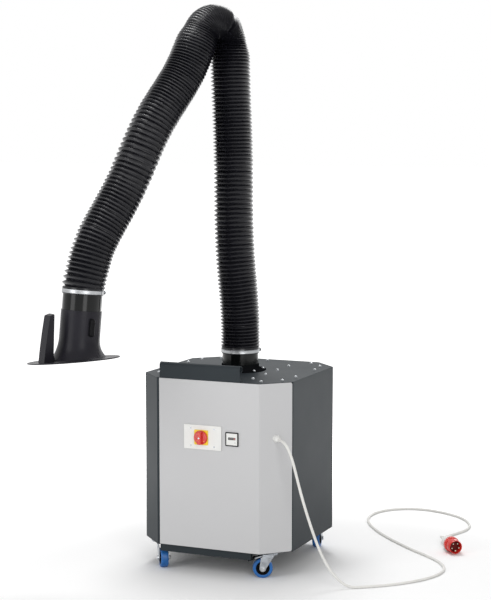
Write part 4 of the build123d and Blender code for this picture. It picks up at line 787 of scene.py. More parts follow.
@dataclass(frozen=True)
class Studio:
    """Camera of the photograph, soft boxes and the pale floor."""

    site: Site
    camera_place: Point3 = (2719.7, -6201.7, 1798.1)
    yaw: float = 23.5
    pitch: float = 6.07
    focal_pixels: float = 1656.0
    sensor_mm: float = 36.0
    view_depth: float = 200.0
    floor_reach: float = 60.0
    surround: float = 0.5
    sky_colour: str = "#FFFFFF"
    floor_colour: str = "#E8E8E8"
    # Gain of the floor for seen rays, low near the middle and high far off: a painted pool of grey
    # shade round the object, fading into white.
    floor_gains_with_painted_shade: Point2 = (1.02, 2.4)
    painted_shade_radii: Point2 = (1.1, 3.0)
    painted_shade_middle: Point3 = (400.0, -500.0, 0.0)
    light_target_z: float = 1000.0
    boxes: tuple[SoftBox, ...] = (
        SoftBox("front_box", 14.0, 4.6, 2.1, 1.8, 3.4, 62.0),
        SoftBox("left_box", -50.0, 4.6, 2.1, 1.8, 3.4, 56.0),
        SoftBox("rim_box", 150.0, 3.6, 1.7, 0.5, 2.8, 10.0),
        SoftBox("top_box", 180.0, 1.3, 4.2, 1.6, 1.6, 75.0),
    )

    def camera(self) -> None:
        """Adds the camera and makes it the scene's."""
        data = bpy.data.cameras.new("photo_camera")
        data.sensor_width = self.sensor_mm
        data.sensor_height = self.sensor_mm
        data.sensor_fit = "AUTO"
        data.lens = self.sensor_mm * self.focal_pixels / IMAGE_HEIGHT
        data.clip_end = self.view_depth
        camera = bpy.data.objects.new("photo_camera", data)
        tilt = math.radians(self.pitch)
        right = level(self.yaw)
        ahead = level(self.yaw + 90.0) * math.cos(tilt) - upright(math.sin(tilt))
        matrix = Matrix((right, right.cross(ahead), -ahead)).transposed().to_4x4()
        matrix.translation = self.site.point(*self.camera_place)
        camera.matrix_world = matrix
        bpy.context.scene.collection.objects.link(camera)
        bpy.context.scene.camera = camera

    def lights(self) -> None:
        """Adds the soft boxes and the pale surround."""
        for box in self.boxes:
            box.build(self.site.axis, self.site.point(0.0, 0.0, self.light_target_z), self.yaw)
        world = bpy.data.worlds.new("studio")
        bpy.context.scene.world = world
        world.use_nodes = True
        tree = world.node_tree
        tree.nodes.clear()
        strength = map_range(tree, seen_rays(tree), (0.0, 1.0), (self.surround, 1.0))
        glow = {"Color": linear(self.sky_colour), "Strength": strength}
        background = add_node(tree, "ShaderNodeBackground", glow).outputs["Background"]
        add_node(tree, "ShaderNodeOutputWorld", {"Surface": background})

    def floor_material(self) -> bpy.types.Material:
        """Builds the floor's surface: for seen rays a low gain near the object paints a grey pool
        of shade over the real shadows there, and a high gain further off blows the floor out to
        white.

        Returns:
            The new material.
        """
        material = bpy.data.materials.new("studio_floor_with_painted_shade")
        material.use_nodes = True
        tree = material.node_tree
        tree.nodes.clear()
        ends = {
            0: add_node(tree, "ShaderNodeTexCoord").outputs["Object"],
            1: self.site.point(*self.painted_shade_middle),
        }
        away = add_node(tree, "ShaderNodeVectorMath", ends, operation="DISTANCE").outputs["Value"]
        # Low gain near the object paints grey shade round it; high gain far off gives white.
        white = map_range(tree, away, self.painted_shade_radii, self.floor_gains_with_painted_shade, "SMOOTHSTEP")
        full = {0: (1.0, 1.0, 1.0), "Scale": white}
        shown = add_node(tree, "ShaderNodeVectorMath", full, operation="SCALE").outputs["Vector"]
        colour = mixed(tree, seen_rays(tree), linear(self.floor_colour), shown)
        paint = add_node(tree, "ShaderNodeBsdfDiffuse", {"Color": colour, "Roughness": 0.0})
        add_node(tree, "ShaderNodeOutputMaterial", {"Surface": paint.outputs["BSDF"]})
        return material

    def floor(self) -> None:
        """Adds the floor."""
        width = 2 * self.floor_reach
        mesh = bpy.data.meshes.new("studio_floor")
        mesh.from_pydata([(x, y, 0.0) for x, y in rectangle(width, width)], [], [(0, 1, 2, 3)])
        mesh.materials.append(self.floor_material())
        floor = bpy.data.objects.new("studio_floor", mesh)
        bpy.context.scene.collection.objects.link(floor)


# Mains cord


@dataclass(frozen=True)
class MainsCord:
    """White cord from the gland to the plug, lying loose on the floor."""

    site: Site
    radius: float = 5.5
    length: float = 3261.9
    route: tuple[Point3, ...] = (
        (294.5, -294.5, 569.0),
        (317.1, -317.1, 569.0),
        (342.0, -332.0, 554.0),
        (362.0, -339.0, 522.0),
        (381.0, -342.0, 464.0),
        (400.0, -342.0, 393.0),
        (422.0, -340.0, 318.0),
        (446.0, -335.0, 243.0),
        (470.0, -328.0, 172.0),
        (497.0, -317.0, 106.0),
        (532.0, -302.0, 48.0),
        (580.0, -281.0, 5.6),
        (631.0, -249.0, 5.6),
        (690.0, -205.0, 5.6),
        (748.0, -147.0, 5.6),
        (806.0, -70.0, 5.6),
        (846.0, 20.0, 5.6),
        (852.0, 118.0, 5.6),
        (812.0, 206.0, 5.6),
        (738.0, 284.0, 5.6),
        (640.0, 362.0, 5.6),
        (540.0, 455.0, 5.6),
        (438.0, 560.0, 5.6),
        (346.0, 676.0, 5.6),
        (280.0, 795.0, 5.6),
        (262.0, 912.0, 5.6),
        (296.0, 1012.0, 5.6),
        (366.0, 1076.0, 5.6),
        (452.0, 1098.0, 5.6),
        (542.0, 1078.0, 5.6),
        (630.0, 1034.0, 5.6),
        (702.0, 962.0, 5.6),
        (744.0, 872.0, 5.6),
        (748.0, 784.0, 5.6),
        (722.0, 706.0, 5.6),
        (702.0, 651.0, 5.6),
        (695.0, 601.0, 12.0),
        (700.0, 560.0, 26.0),
        (714.6, 520.2, 33.0),
        (735.0, 493.0, 33.0),
    )

    def build(self, with_pieces: Sequence[bpy.types.Object]) -> None:
        """Lays the cord.

        Args:
            with_pieces: the gland and the plug's pieces; not used.
        """
        data = bpy.data.curves.new("mains_cord_sheath", "CURVE")
        data.dimensions = "3D"
        data.bevel_depth = self.radius * MM
        data.bevel_resolution = 6
        data.resolution_u = 12
        data.use_fill_caps = True
        spline = data.splines.new("NURBS")
        spline.points.add(len(self.route) - 1)
        for point, (x, y, z) in zip(spline.points, self.route):
            point.co = (*self.site.point(x, y, z), 1.0)
        spline.order_u = 3
        spline.use_endpoint_u = True
        cord = bpy.data.objects.new("mains_cord_sheath", data)
        bpy.context.scene.collection.objects.link(cord)
        data.materials.append(CORD_PVC.material())
        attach(cord, "cabinet")
        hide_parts("mains_cord")
        tuple(self.site.point(*self.route[0]))
        list(with_pieces)
        LOG.info("mains cord: %d points", len(self.route))


@dataclass(frozen=True)
class Gland:
    """Nylon cable gland on the panel's corner face, its nut tapered to the cord."""

    site: Site
    place: Point3 = (274.0, -274.0, 569.0)
    hex_radius: float = 15.5
    hex_height: float = 9.0
    hex_round: float = 1.2
    nut: Profile = (
        (12.7, 9.0), (13.5, 9.8), (13.5, 17.4), (12.3, 20.2), (10.3, 24.2), (8.4, 27.8),
        (7.5, 29.0), (5.6, 29.0), (5.6, 25.0),
    )
    fluted_radius: float = 12.0
    flutes: int = 12
    flute_depth: float = 0.9

    def flute(self, radius: float, height: float, turn: float) -> float:
        """Depth of the grip flutes round the widest part of the nut.

        Args:
            radius: radius of the profile's point.
            height: height of the profile's point.
            turn: angle round the axis.

        Returns:
            The depth in millimetres.
        """
        if radius < self.fluted_radius or height <= self.hex_height:
            return 0.0
        return self.flute_depth * (0.5 + 0.5 * math.cos(self.flutes * turn)) ** 3

    def build(self) -> bpy.types.Object:
        """Makes the hexagon, the fluted dome nut and its lip.

        Returns:
            The gland.
        """
        place = frame_at(self.site.point(*self.place), level(-45.0), level(45.0))
        draft = Draft()
        hexagon = rounded(regular(self.hex_radius), self.hex_round)
        draft.add_prism(hexagon, 0.0, self.hex_height, place)
        draft.add_turned(self.nut, place, self.flutes * FLUTE_STEPS, Caps.FLAT, self.flute)
        gland = draft.piece("cord_gland", WHITE_ABS)
        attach(gland, "cabinet")
        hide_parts("cable_gland")
        return gland


# Hose


class ClampedSpline:
    """Smooth curve in a plane through points, with set directions at both ends."""

    def __init__(self, points: Sequence[Point2], start: Point2, end: Point2) -> None:
        """Solves for the direction at each point.

        Args:
            points: points of the curve in order.
            start: unit direction at the first point.
            end: unit direction at the last point.
        """
        self.points = np.array(points, float)
        self.steps = np.hypot(*np.diff(self.points, axis=0).T)
        count = len(self.points)
        matrix = np.zeros((count, count))
        right = np.zeros((count, 2))
        matrix[0, 0] = matrix[-1, -1] = 1.0
        right[0], right[-1] = start, end
        for i in range(1, count - 1):
            a, b = 1 / self.steps[i - 1], 1 / self.steps[i]
            matrix[i, i - 1 : i + 2] = a, 2 * (a + b), b
            back = self.points[i] - self.points[i - 1]
            ahead = self.points[i + 1] - self.points[i]
            right[i] = 3 * (back * a * a + ahead * b * b)
        self.slopes = np.linalg.solve(matrix, right)

    def samples(self, per_span: int) -> list[np.ndarray]:
        """Points along the curve.

        Args:
            per_span: number of points on each stretch.

        Returns:
            The points in order, both ends included.
        """
        result = []
        for i, step in enumerate(self.steps):
            for k in range(per_span):
                t = k / per_span
                value = (
                    (1 + 2 * t) * (1 - t) ** 2 * self.points[i]
                    + t * (1 - t) ** 2 * step * self.slopes[i]
                    + t * t * (3 - 2 * t) * self.points[i + 1]
                    - t * t * (1 - t) * step * self.slopes[i + 1]
                )
                result.append(value)
        result.append(self.points[-1])
        return result


@dataclass(frozen=True)
class HoseLine:
    """Centreline of the hose in the arm's plane: lower leg, elbow arc, upper leg."""

    base_height: float = 882.0
    elbow_lean: float = 52.0
    elbow_rise: float = 1245.0
    elbow_radius: float = 74.0
    upper_lean: float = 32.0
    hood_reach: float = 750.0
    hood_height: float = 1160.0
    hood_tilt: float = 5.6
    bow: float = 39.0
    lean_shares: tuple[float, ...] = (0.0, 0.07, 0.46, 0.65, 0.67, 0.78, 0.94, 1.0)
    rise_shares: tuple[float, ...] = (0.0, 0.127, 0.29, 0.456, 0.58, 0.734, 0.882, 1.0)
    run_shares: tuple[float, ...] = (0.0, 0.15, 0.285, 0.36, 0.45, 0.58, 0.72, 0.85, 0.93, 1.0)
    bow_shares: tuple[float, ...] = (0.0, -0.12, 0.34, 0.62, 0.71, 0.58, 0.76, 0.95, 0.58, 0.0)
    samples_per_span: int = 60
    samples_on_arc: int = 240

    def elbow_point(self, angle: float) -> np.ndarray:
        """Point of the elbow's arc.

        Args:
            angle: angle from the arm's outward direction, in degrees.

        Returns:
            Its place in the plane.
        """
        turn = math.radians(angle)
        lean = self.elbow_lean + self.elbow_radius * (1 + math.cos(turn))
        rise = self.base_height + self.elbow_rise + self.elbow_radius * math.sin(turn)
        return np.array((lean, rise))

    def hood_clamp(self, arm: ArmPlane) -> Vector:
        """Middle of the clamp at the hood, in metres."""
        return arm.point(self.hood_reach, self.hood_height)

    def hood_axis(self, arm: ArmPlane) -> Vector:
        """Direction of the hood's axis, upwards."""
        tilt = math.radians(self.hood_tilt)
        return arm.direction(-math.sin(tilt), math.cos(tilt))

    def spans(self) -> list[list[np.ndarray]]:
        """Samples the centreline.

        Returns:
            The points of the lower leg, of the elbow and of the upper leg.
        """
        leg = [
            (self.elbow_lean * a, self.base_height + self.elbow_rise * b)
            for a, b in zip(self.lean_shares, self.rise_shares)
        ]
        lower = ClampedSpline(leg, (0.0, 1.0), (0.0, 1.0)).samples(self.samples_per_span)
        step = (180 - self.upper_lean) / self.samples_on_arc
        arc = [self.elbow_point(180 - step * i) for i in range(self.samples_on_arc + 1)]
        start = self.elbow_point(self.upper_lean)
        run = np.array((self.hood_reach, self.hood_height)) - start
        out = np.array((-run[1], run[0])) / math.hypot(*run)
        lean, tilt = math.radians(self.upper_lean), math.radians(self.hood_tilt)
        leg = [
            tuple(start + run * a + out * self.bow * b)
            for a, b in zip(self.run_shares, self.bow_shares)
        ]
        upper = ClampedSpline(
            leg, (math.sin(lean), -math.cos(lean)), (math.sin(tilt), -math.cos(tilt))
        ).samples(self.samples_per_span)
        return [lower, arc, upper]


@dataclass
class Hose:
    """Black ribbed hose: fabric folded between the turns of a wire.

    Places along the hose are millimetres from its foot. The pitch tables give the distance
    from rib to rib at such places: close where the hose is pushed together, and wide where
    it is drawn out. The fold is deep on the side that the fold bearing looks at, and shallow
    behind it. A cuff's lip and top are given by their distance from the tube, and from the
    cuff's rim or from its far end.
    """

    arm: ArmPlane
    line: HoseLine
    seed: int = 11
    crest_places: tuple[float, ...] = (0, 1100, 1500, 2300, 2480)
    crest_radii: tuple[float, ...] = (80.5, 81.0, 82.8, 83.6, 84.4)
    elbow_pinch: float = 10.0
    pinch_run: float = 70.0
    leg_run: float = 180.0
    end_run: float = 170.0
    rib_start: float = 3.3
    base_tube: float = 74.0
    hood_tube: float = 76.0
    hood_seat: float = 10.0
    cuff_lip: Profile = ((0.4, 3.0), (0.4, 0.4), (3.2, 0.0), (3.9, 0.8))
    cuff_top: Profile = ((3.9, 3.0), (2.9, 1.2))
    cuff_length: float = 28.0
    cuff_rise: float = 6.3
    shoulder_bend: Point2 = (890.0, 1040.0)
    wrist_bend: Point2 = (165.0, 16.0)
    segments: int = 96
    rib_steps: int = 10
    fullness: float = 1.3
    deep_fold: float = 15.0
    shallow_fold: float = 6.0
    facing_power: float = 2.2
    taut_fold: float = 3.6
    inner_fold: float = 13.0
    inner_power: float = 1.3
    fold_bearing: float = 203.5
    crease_place: float = 72.0
    crease_depth: float = 13.0
    crease_width: float = 7.0
    crease_even: float = 0.65
    shoulder_place: float = 30.0
    shoulder_depth: float = 11.0
    shoulder_width: float = 35.0
    rib_half_width: float = 4.6
    heading_reach: float = 1.5
    edge_samples: int = 200
    leg_jitter: tuple[Point2, Point2] = ((-0.6, 0.4), (0.9, 1.08))
    elbow_jitter: tuple[Point2, Point2] = ((-0.4, 0.3), (0.92, 1.08))
    pitch_places: tuple[float, ...] = (
        0, 100, 200, 290, 420, 600, 720, 810, 950, 1060, 1150, 1230, 1247,
        1438, 1450, 1500, 1600, 1700, 1775, 1917, 2058, 2200, 2300, 2400, 2500, 2600,
    )
    pitches: tuple[float, ...] = (
        12.0, 13.6, 15.4, 16.4, 17.6, 19.2, 18.4, 14.8, 15.2, 16.2, 14.0, 10.0, 7.0,
        7.0, 9.0, 12.5, 13.0, 13.0, 14.0, 19.6, 21.7, 17.0, 15.3, 15.6, 18.3, 20.9,
    )

    def __post_init__(self) -> None:
        """Measures the centreline."""
        self.dice = random.Random(self.seed)
        self.fold_way = level(self.fold_bearing)
        spans = self.line.spans()
        self.points = np.array(list(spans[0]) + list(spans[1][1:]) + list(spans[2][1:]))
        steps = np.hypot(*np.diff(self.points, axis=0).T)
        self.marks = np.concatenate(([0.0], np.cumsum(steps)))
        lengths = [float(np.sum(np.hypot(*np.diff(np.array(s), axis=0).T))) for s in spans]
        self.elbow_start = lengths[0]
        self.elbow_end = lengths[0] + lengths[1]
        self.total = sum(lengths)

    def centre(self, distance: float) -> Point2:
        """Point of the centreline in the plane."""
        return tuple(np.interp(distance, self.marks, self.points[:, k]) for k in (0, 1))

    def heading(self, distance: float) -> Point2:
        """Direction of the centreline.

        Args:
            distance: place along the hose.

        Returns:
            The unit direction in the plane.
        """
        a = self.centre(max(0.0, distance - self.heading_reach))
        b = self.centre(min(self.total, distance + self.heading_reach))
        run = math.hypot(b[0] - a[0], b[1] - a[1])
        return (b[0] - a[0]) / run, (b[1] - a[1]) / run

    def elbow_share(self, distance: float, run: float) -> float:
        """How much a place belongs to the elbow.

        Args:
            distance: place along the hose.
            run: length of each leg over which the share fades.

        Returns:
            1 on the elbow, 0 on the legs, and a smooth change between.
        """
        away = max(self.elbow_start - distance, distance - self.elbow_end, 0.0)
        share = max(0.0, 1 - away / run)
        return share * share * (3 - 2 * share)

    def crest(self, distance: float) -> float:
        """Radius over the wire at a place along the hose."""
        return float(np.interp(distance, self.crest_places, self.crest_radii))

    def hollow(self, distance: float, place: float, depth: float, width: float) -> float:
        """Depth, at a distance, of a hollow whose place is counted from the elbow's start."""
        away = (distance - self.elbow_start - place) / width
        return depth * math.exp(-away * away)

    def fold(self, distance: float, outward: Vector, bend_side: float) -> float:
        """Depth of the fold between two ribs.

        Args:
            distance: place along the hose.
            outward: direction from the hose's middle to the place on its skin.
            bend_side: 1 on the outside of the elbow's bend and -1 on the inside.

        Returns:
            The depth in millimetres.
        """
        facing = (0.5 + 0.5 * outward.dot(self.fold_way)) ** self.facing_power
        leg = self.shallow_fold + (self.deep_fold - self.shallow_fold) * facing
        inside = (0.5 - 0.5 * bend_side) ** self.inner_power
        elbow = self.taut_fold + (self.inner_fold - self.taut_fold) * inside
        share = self.elbow_share(distance, self.leg_run)
        return leg * (1 - share) + elbow * share

    def edges(self, start: float, end: float) -> list[float]:
        """Places of the folds between two ends.

        Args:
            start: place of the first fold.
            end: place of the last fold.

        Returns:
            The places in order, both ends included.
        """
        places = np.linspace(start, end, self.edge_samples)
        pitch = np.interp(places, self.pitch_places, self.pitches)
        steps = np.diff(places) * (1 / pitch[1:] + 1 / pitch[:-1]) / 2
        turns = np.concatenate(([0.0], np.cumsum(steps)))
        count = max(1, round(float(turns[-1])))
        even = np.arange(count + 1) * turns[-1] / count
        return [float(value) for value in np.interp(even, turns, places)]

    def skin_ring(
        self, middle: float, along: float = 0.0, share: float = 0.0,
        jitter: Point2 = (0.0, 1.0), straight: bool = False,
    ) -> list[Vector]:
        """One ring of points on the hose's skin.

        Args:
            middle: place whose local frame the ring uses.
            along: distance of the ring from that place along the hose.
            share: place of the ring between two folds, from 0 to 1.
            jitter: change of the crest's radius, and factor on the fold's depth.
            straight: whether the rib is built square on a narrow core, as in the elbow.

        Returns:
            The ring, in metres.
        """
        tu, tz = self.heading(middle)
        side = self.arm.side()
        normal = self.arm.direction(-tz, tu)
        tangent = self.arm.direction(tu, tz)
        centre = self.arm.point(*self.centre(middle))
        pinch = self.elbow_pinch * self.elbow_share(middle, self.pinch_run)
        base = self.crest(middle) - pinch + jitter[0]
        place = middle + along
        dip = 0.0
        if straight:
            dip = self.hollow(place, self.crease_place, self.crease_depth, self.crease_width)
        fallen = self.hollow(place, self.shoulder_place, self.shoulder_depth, self.shoulder_width)
        depth_share = abs(2 * share - 1) ** self.fullness
        bend = self.line.elbow_radius
        ring = []
        for step in range(self.segments):
            turn = math.tau * step / self.segments
            cos_t, sin_t = math.cos(turn), math.sin(turn)
            outward = normal * cos_t + side * sin_t
            radius = base - self.fold(middle, outward, cos_t) * jitter[1] * depth_share
            radius -= dip * (self.crease_even + (1 - self.crease_even) * cos_t)
            radius -= fallen * (0.5 + 0.5 * cos_t)
            offset = along
            if straight:
                offset = along * (bend + radius * cos_t) / bend
                least = (2 * share - 1) * self.rib_half_width
                if abs(offset) < abs(least):
                    offset = least
            ring.append(centre + (outward * radius + tangent * offset) * MM)
        return ring

    def roll(self, ranges: tuple[Point2, Point2]) -> Point2:
        """Draws a rib's change of radius and its factor on the fold."""
        return self.dice.uniform(*ranges[0]), self.dice.uniform(*ranges[1])

    def ribs(self, draft: Draft, start: float, end: float) -> None:
        """Adds the ribs of a leg.

        Args:
            draft: piece that takes them.
            start: place of the first fold.
            end: place of the last fold.
        """
        edges = self.edges(start, end)
        rings = []
        for first, last in zip(edges, edges[1:]):
            jitter = self.roll(self.leg_jitter)
            for step in range(self.rib_steps):
                share = step / self.rib_steps
                rings.append(self.skin_ring(first + (last - first) * share, 0.0, share, jitter))
        rings.append(self.skin_ring(end))
        draft.add_rings(rings)

    def cuff(
        self, draft: Draft, origin: Vector, axis: Vector, inner: float, join: list[Vector]
    ) -> None:
        """Adds the plain end of the hose over a tube.

        Args:
            draft: piece that takes it.
            origin: middle of the cuff's rim, in metres.
            axis: direction from the cuff to the ribs.
            inner: radius of the tube.
            join: ring of skin that the cuff runs into.
        """
        profile = [(inner + out, up) for out, up in self.cuff_lip]
        profile += [(inner + out, self.cuff_length - down) for out, down in self.cuff_top]
        ways = [p - origin for p in join]
        flat = [(way - axis * way.dot(axis)).normalized() for way in ways]
        rings = [
            [origin + (way * radius + axis * height) * MM for way in flat]
            for radius, height in profile
        ]
        draft.add_rings([*rings, join])

    def elbow_ribs(self) -> None:
        """Builds the elbow, one piece for each rib."""
        middle = (self.elbow_start + self.elbow_end) / 2
        number = 0
        for start, end, bodies in (
            (self.elbow_start, middle, ("lower_arm", "elbow")),
            (middle, self.elbow_end, ("elbow", "upper_arm")),
        ):
            edges = self.edges(start, end)
            for first, last in zip(edges, edges[1:]):
                self.elbow_rib(number, first, last, (start, end), bodies)
                number += 1
        LOG.info("elbow hose: %d ribs", number)

    def elbow_rib(
        self, number: int, first: float, last: float, half: Point2, bodies: tuple[str, str]
    ) -> None:
        """Builds one rib of the elbow.

        Args:
            number: number of the rib.
            first: place of its first fold.
            last: place of its last fold.
            half: ends of the stretch that bends about one pivot.
            bodies: bodies before and after that pivot; not used.
        """
        middle = (first + last) / 2
        jitter = self.roll(self.elbow_jitter)
        bend = self.line.elbow_radius
        angle = (last - first) / bend
        rings = []
        for step in range(self.rib_steps + 1):
            share = step / self.rib_steps
            along = bend * math.tan((share - 0.5) * angle)
            rings.append(self.skin_ring(middle, along, share, jitter, True))
        draft = Draft()
        draft.add_rings(rings)
        rib = draft.piece(f"elbow_rib_{number:02d}", HOSE_SKIN)
        tangent = self.arm.direction(*self.heading(middle))
        reach = (bend + self.crest(middle) - self.elbow_pinch) * math.tan(angle / 2) * MM
        shares = [(v - half[0]) / (half[1] - half[0]) for v in (first, last)]
        span = 2 * reach / (shares[1] - shares[0])
        begin = self.arm.point(*self.centre(middle)) + tangent * (-reach - shares[0] * span)
        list(bodies)
        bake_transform(rib)
        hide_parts("hose_elbow")

    def build(self) -> None:
        """Builds all stretches of the hose."""
        site = self.arm.site
        lower_end = self.elbow_start - self.leg_run
        upper_start = self.elbow_end + self.leg_run
        upper_end = self.total - self.end_run
        hood_rim = self.total - self.hood_seat - self.rib_start

        shoulder = Draft()
        foot = site.point(0, 0, self.line.base_height + self.cuff_rise - self.cuff_length)
        self.cuff(shoulder, foot, upright(), self.base_tube, self.skin_ring(self.rib_start))
        self.ribs(shoulder, self.rib_start, self.end_run)
        piece = shoulder.piece("hose_over_shoulder", HOSE_SKIN)
        start, end = (site.point(0, 0, height) for height in self.shoulder_bend)
        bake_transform(piece)
        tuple(start)
        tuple(end)
        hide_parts("hose_shoulder")

        for name, start, end, body, node in (
            ("hose_lower_leg", self.end_run, lower_end, "lower_arm", "hose_lower"),
            ("hose_elbow_foot", lower_end, self.elbow_start, "lower_arm", "hose_elbow"),
            ("hose_elbow_head", self.elbow_end, upper_start, "upper_arm", "hose_elbow"),
            ("hose_upper_leg", upper_start, upper_end, "upper_arm", "hose_upper"),
        ):
            draft = Draft()
            self.ribs(draft, start, end)
            leg = draft.piece(name, HOSE_SKIN)
            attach(leg, body)
            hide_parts(node)

        wrist = Draft()
        axis = self.line.hood_axis(self.arm)
        clamp = self.line.hood_clamp(self.arm)
        rim = clamp + axis * ((self.hood_seat + self.cuff_rise - self.cuff_length) * MM)
        self.ribs(wrist, upper_end, hood_rim)
        self.cuff(wrist, rim, axis, self.hood_tube, self.skin_ring(hood_rim))
        piece = wrist.piece("hose_over_wrist", HOSE_SKIN)
        start, end = (clamp + axis * (reach * MM) for reach in self.wrist_bend)
        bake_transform(piece)
        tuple(start)
        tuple(end)
        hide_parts("hose_wrist")
        self.elbow_ribs()


# Small parts made here


@dataclass(frozen=True)
class ScrewHeads:
    """Domed cross-recess screws of the top plate, in place of the plain drawn heads."""

    source: bpy.types.Object
    lowest: float = 700.0
    height: float = 3.5
    dome_power: float = 2.6
    radii: tuple[float, ...] = (
        6.0, 5.95, 5.6, 4.9, 4.0, 3.4, 3.1, 2.6, 2.0, 1.4, 0.9, 0.5, 0.1
    )
    recess_reach: float = 3.2
    recess_half_width: float = 0.8
    recess_depth: float = 1.8
    segments: int = 48
    bolt_bevel: float = 0.4

    def head(self, draft: Draft, middle: Vector) -> None:
        """Adds one head that stands on a point.

        Args:
            draft: piece that takes it.
            middle: middle of its foot, in metres.
        """
        rings = []
        for radius in self.radii:
            dome = self.height * (1 - (radius / self.radii[0]) ** self.dome_power)
            ring = []
            for step in range(self.segments):
                turn = math.tau * (step + 0.5) / self.segments
                x, y = radius * math.cos(turn), radius * math.sin(turn)
                near, far = sorted((abs(x), abs(y)))
                cut = near < self.recess_half_width and far < self.recess_reach
                z = dome - (self.recess_depth if cut else 0.0)
                ring.append(middle + Vector((x, y, z)) * MM)
            rings.append(ring)
        draft.add_rings(rings, Caps.FLAT)

    def build(self) -> None:
        """Makes the domed heads and keeps the bolts below the cabinet as drawn."""
        work = bmesh.new()
        work.from_mesh(self.source.data)
        draft = Draft()
        left = dict.fromkeys(work.verts)
        plain: list[bmesh.types.BMVert] = []
        count = 0
        while left:
            group = [left.popitem()[0]]
            for vert in group:
                for other in [link.other_vert(vert) for link in vert.link_edges]:
                    if other in left:
                        del left[other]
                        group.append(other)
            low = Vector([min(v.co[k] for v in group) for k in range(3)])
            high = Vector([max(v.co[k] for v in group) for k in range(3)])
            if low.z < self.lowest * MM:
                continue
            self.head(draft, Vector(((low.x + high.x) / 2, (low.y + high.y) / 2, low.z)))
            plain.extend(group)
            count += 1
        bmesh.ops.delete(work, geom=plain, context="VERTS")
        mesh = bpy.data.meshes.new("cabinet_bolts")
        work.to_mesh(mesh)
        work.free()
        for piece in (
            dressed("cabinet_bolts", mesh, ZINC, self.bolt_bevel),
            draft.piece("top_plate_screws", SCREW_ZINC),
        ):
            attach(piece, self.source["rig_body"])
            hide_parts("cabinet_screws")
        LOG.info("top plate: %d screws", count)


@dataclass(frozen=True)
class WormClamp:
    """Slotted steel band with its screw housing, screw and free end."""

    node: str
    body: str
    place: Matrix
    tube_radius: float
    wall: float = 3.6
    clearance: float = 0.6
    thickness: float = 1.1
    width: float = 14.0
    bead: float = 0.5
    bead_edge: Point2 = (0.3, 0.7)
    bead_width: float = 1.5
    columns: int = 288
    slot_low: float = 3.4
    slot_high: float = 10.6
    first_slot: int = 8
    slotted: int = 46
    housing: Point3 = (22.0, 7.5, 12.5)
    shell_top_share: float = 0.72
    cap_foot_share: float = 0.7
    cap_inset: float = 3.0
    corner: float = 1.5
    lift: float = 0.3
    overlap: float = 0.2
    screw_radius: float = 3.6
    screw_length: float = 31.0
    screw_height_share: float = 0.42
    screw_chamfer: float = 0.6
    hexagon_radius: float = 5.4
    hexagon_height: float = 4.2
    hexagon_round: float = 0.5
    tail: Point2 = (15.0, 13.0)
    tail_corner: float = 3.0
    tail_top: float = 1.2

    def cut(self, column: int) -> bool:
        """Whether the band is punched through after a column."""
        place = column % self.columns - self.first_slot
        return 0 < place < self.slotted and place % 2 == 0

    def band(self, draft: Draft, inner: float, outer: float) -> None:
        """Adds the band, slotted next to its housing.

        Args:
            draft: piece that takes it.
            inner: inner radius of the band.
            outer: outer radius between its beads.
        """
        top, crest = self.width, outer + self.bead
        lip, rise = outer + self.bead_edge[0], self.bead_edge[1]
        section = [
            (inner, 0.0), (lip, 0.0), (crest, rise), (outer, self.bead_width),
            (outer, self.slot_low), (outer, self.slot_high), (outer, top - self.bead_width),
            (crest, top - rise), (lip, top), (inner, top),
            (inner, self.slot_high), (inner, self.slot_low),
        ]
        outside, inside = (4, 5), (10, 11)
        first = len(draft.points)
        count = len(section)
        for column in range(self.columns):
            turn = math.tau * column / self.columns + math.pi / 2
            for radius, height in section:
                local = Vector((radius * math.cos(turn), radius * math.sin(turn), height))
                draft.points.append(self.place @ (local * MM))
        for column in range(self.columns):
            here = first + column * count
            after = first + (column + 1) % self.columns * count
            for k in range(count):
                if not (self.cut(column) and k in (outside[0], inside[0])):
                    n = (k + 1) % count
                    draft.faces.append((here + k, here + n, after + n, after + k))
            if self.cut(column):
                for base in (here, after):
                    draft.faces.append(tuple(base + k for k in outside + inside))
                for k, n in zip(outside, inside[::-1]):
                    draft.faces.append((here + k, after + k, after + n, here + n))

    def build(self) -> None:
        """Makes the clamp."""
        draft = Draft()
        inner = self.tube_radius + self.wall + self.clearance
        outer = inner + self.thickness
        self.band(draft, inner, outer)
        long, high, wide = self.housing
        middle = self.width / 2
        facing = self.place @ Matrix(((1, 0, 0, 0), (0, 0, 1, 0), (0, -1, 0, 0), (0, 0, 0, 1)))
        inset, corner = self.cap_inset, self.corner
        tail_middle = (long + self.tail[0]) / 2
        for outline, corner, shift, low, top in (
            (rectangle(long, wide), corner, 0.0, -self.lift, high * self.shell_top_share),
            (rectangle(long - inset, wide - inset), corner, 0.0, high * self.cap_foot_share, high),
            (rectangle(*self.tail), self.tail_corner, tail_middle, self.lift, self.tail_top),
        ):
            shape = moved(rounded(outline, corner), shift, -middle)
            draft.add_prism(shape, outer + low, outer + top, facing)
        raised = (outer + high * self.screw_height_share) * MM
        along = self.place @ Matrix(
            ((0, 0, 1, 0), (1, 0, 0, raised), (0, 1, 0, middle * MM), (0, 0, 0, 1))
        )
        half = self.screw_length / 2
        radius, chamfer = self.screw_radius, self.screw_chamfer
        seat = half - self.hexagon_height
        screw = (
            (ON_AXIS, -half), (radius - chamfer, -half), (radius, chamfer - half),
            (radius, seat + self.overlap), (ON_AXIS, seat + self.overlap),
        )
        draft.add_turned(screw, along, 32, Caps.FLAT)
        hexagon = rounded(regular(self.hexagon_radius), self.hexagon_round)
        draft.add_prism(hexagon, seat, half, along)
        piece = draft.piece(self.node + "_band", STAINLESS)
        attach(piece, self.body)
        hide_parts(self.node)
        LOG.info("%s", self.node)


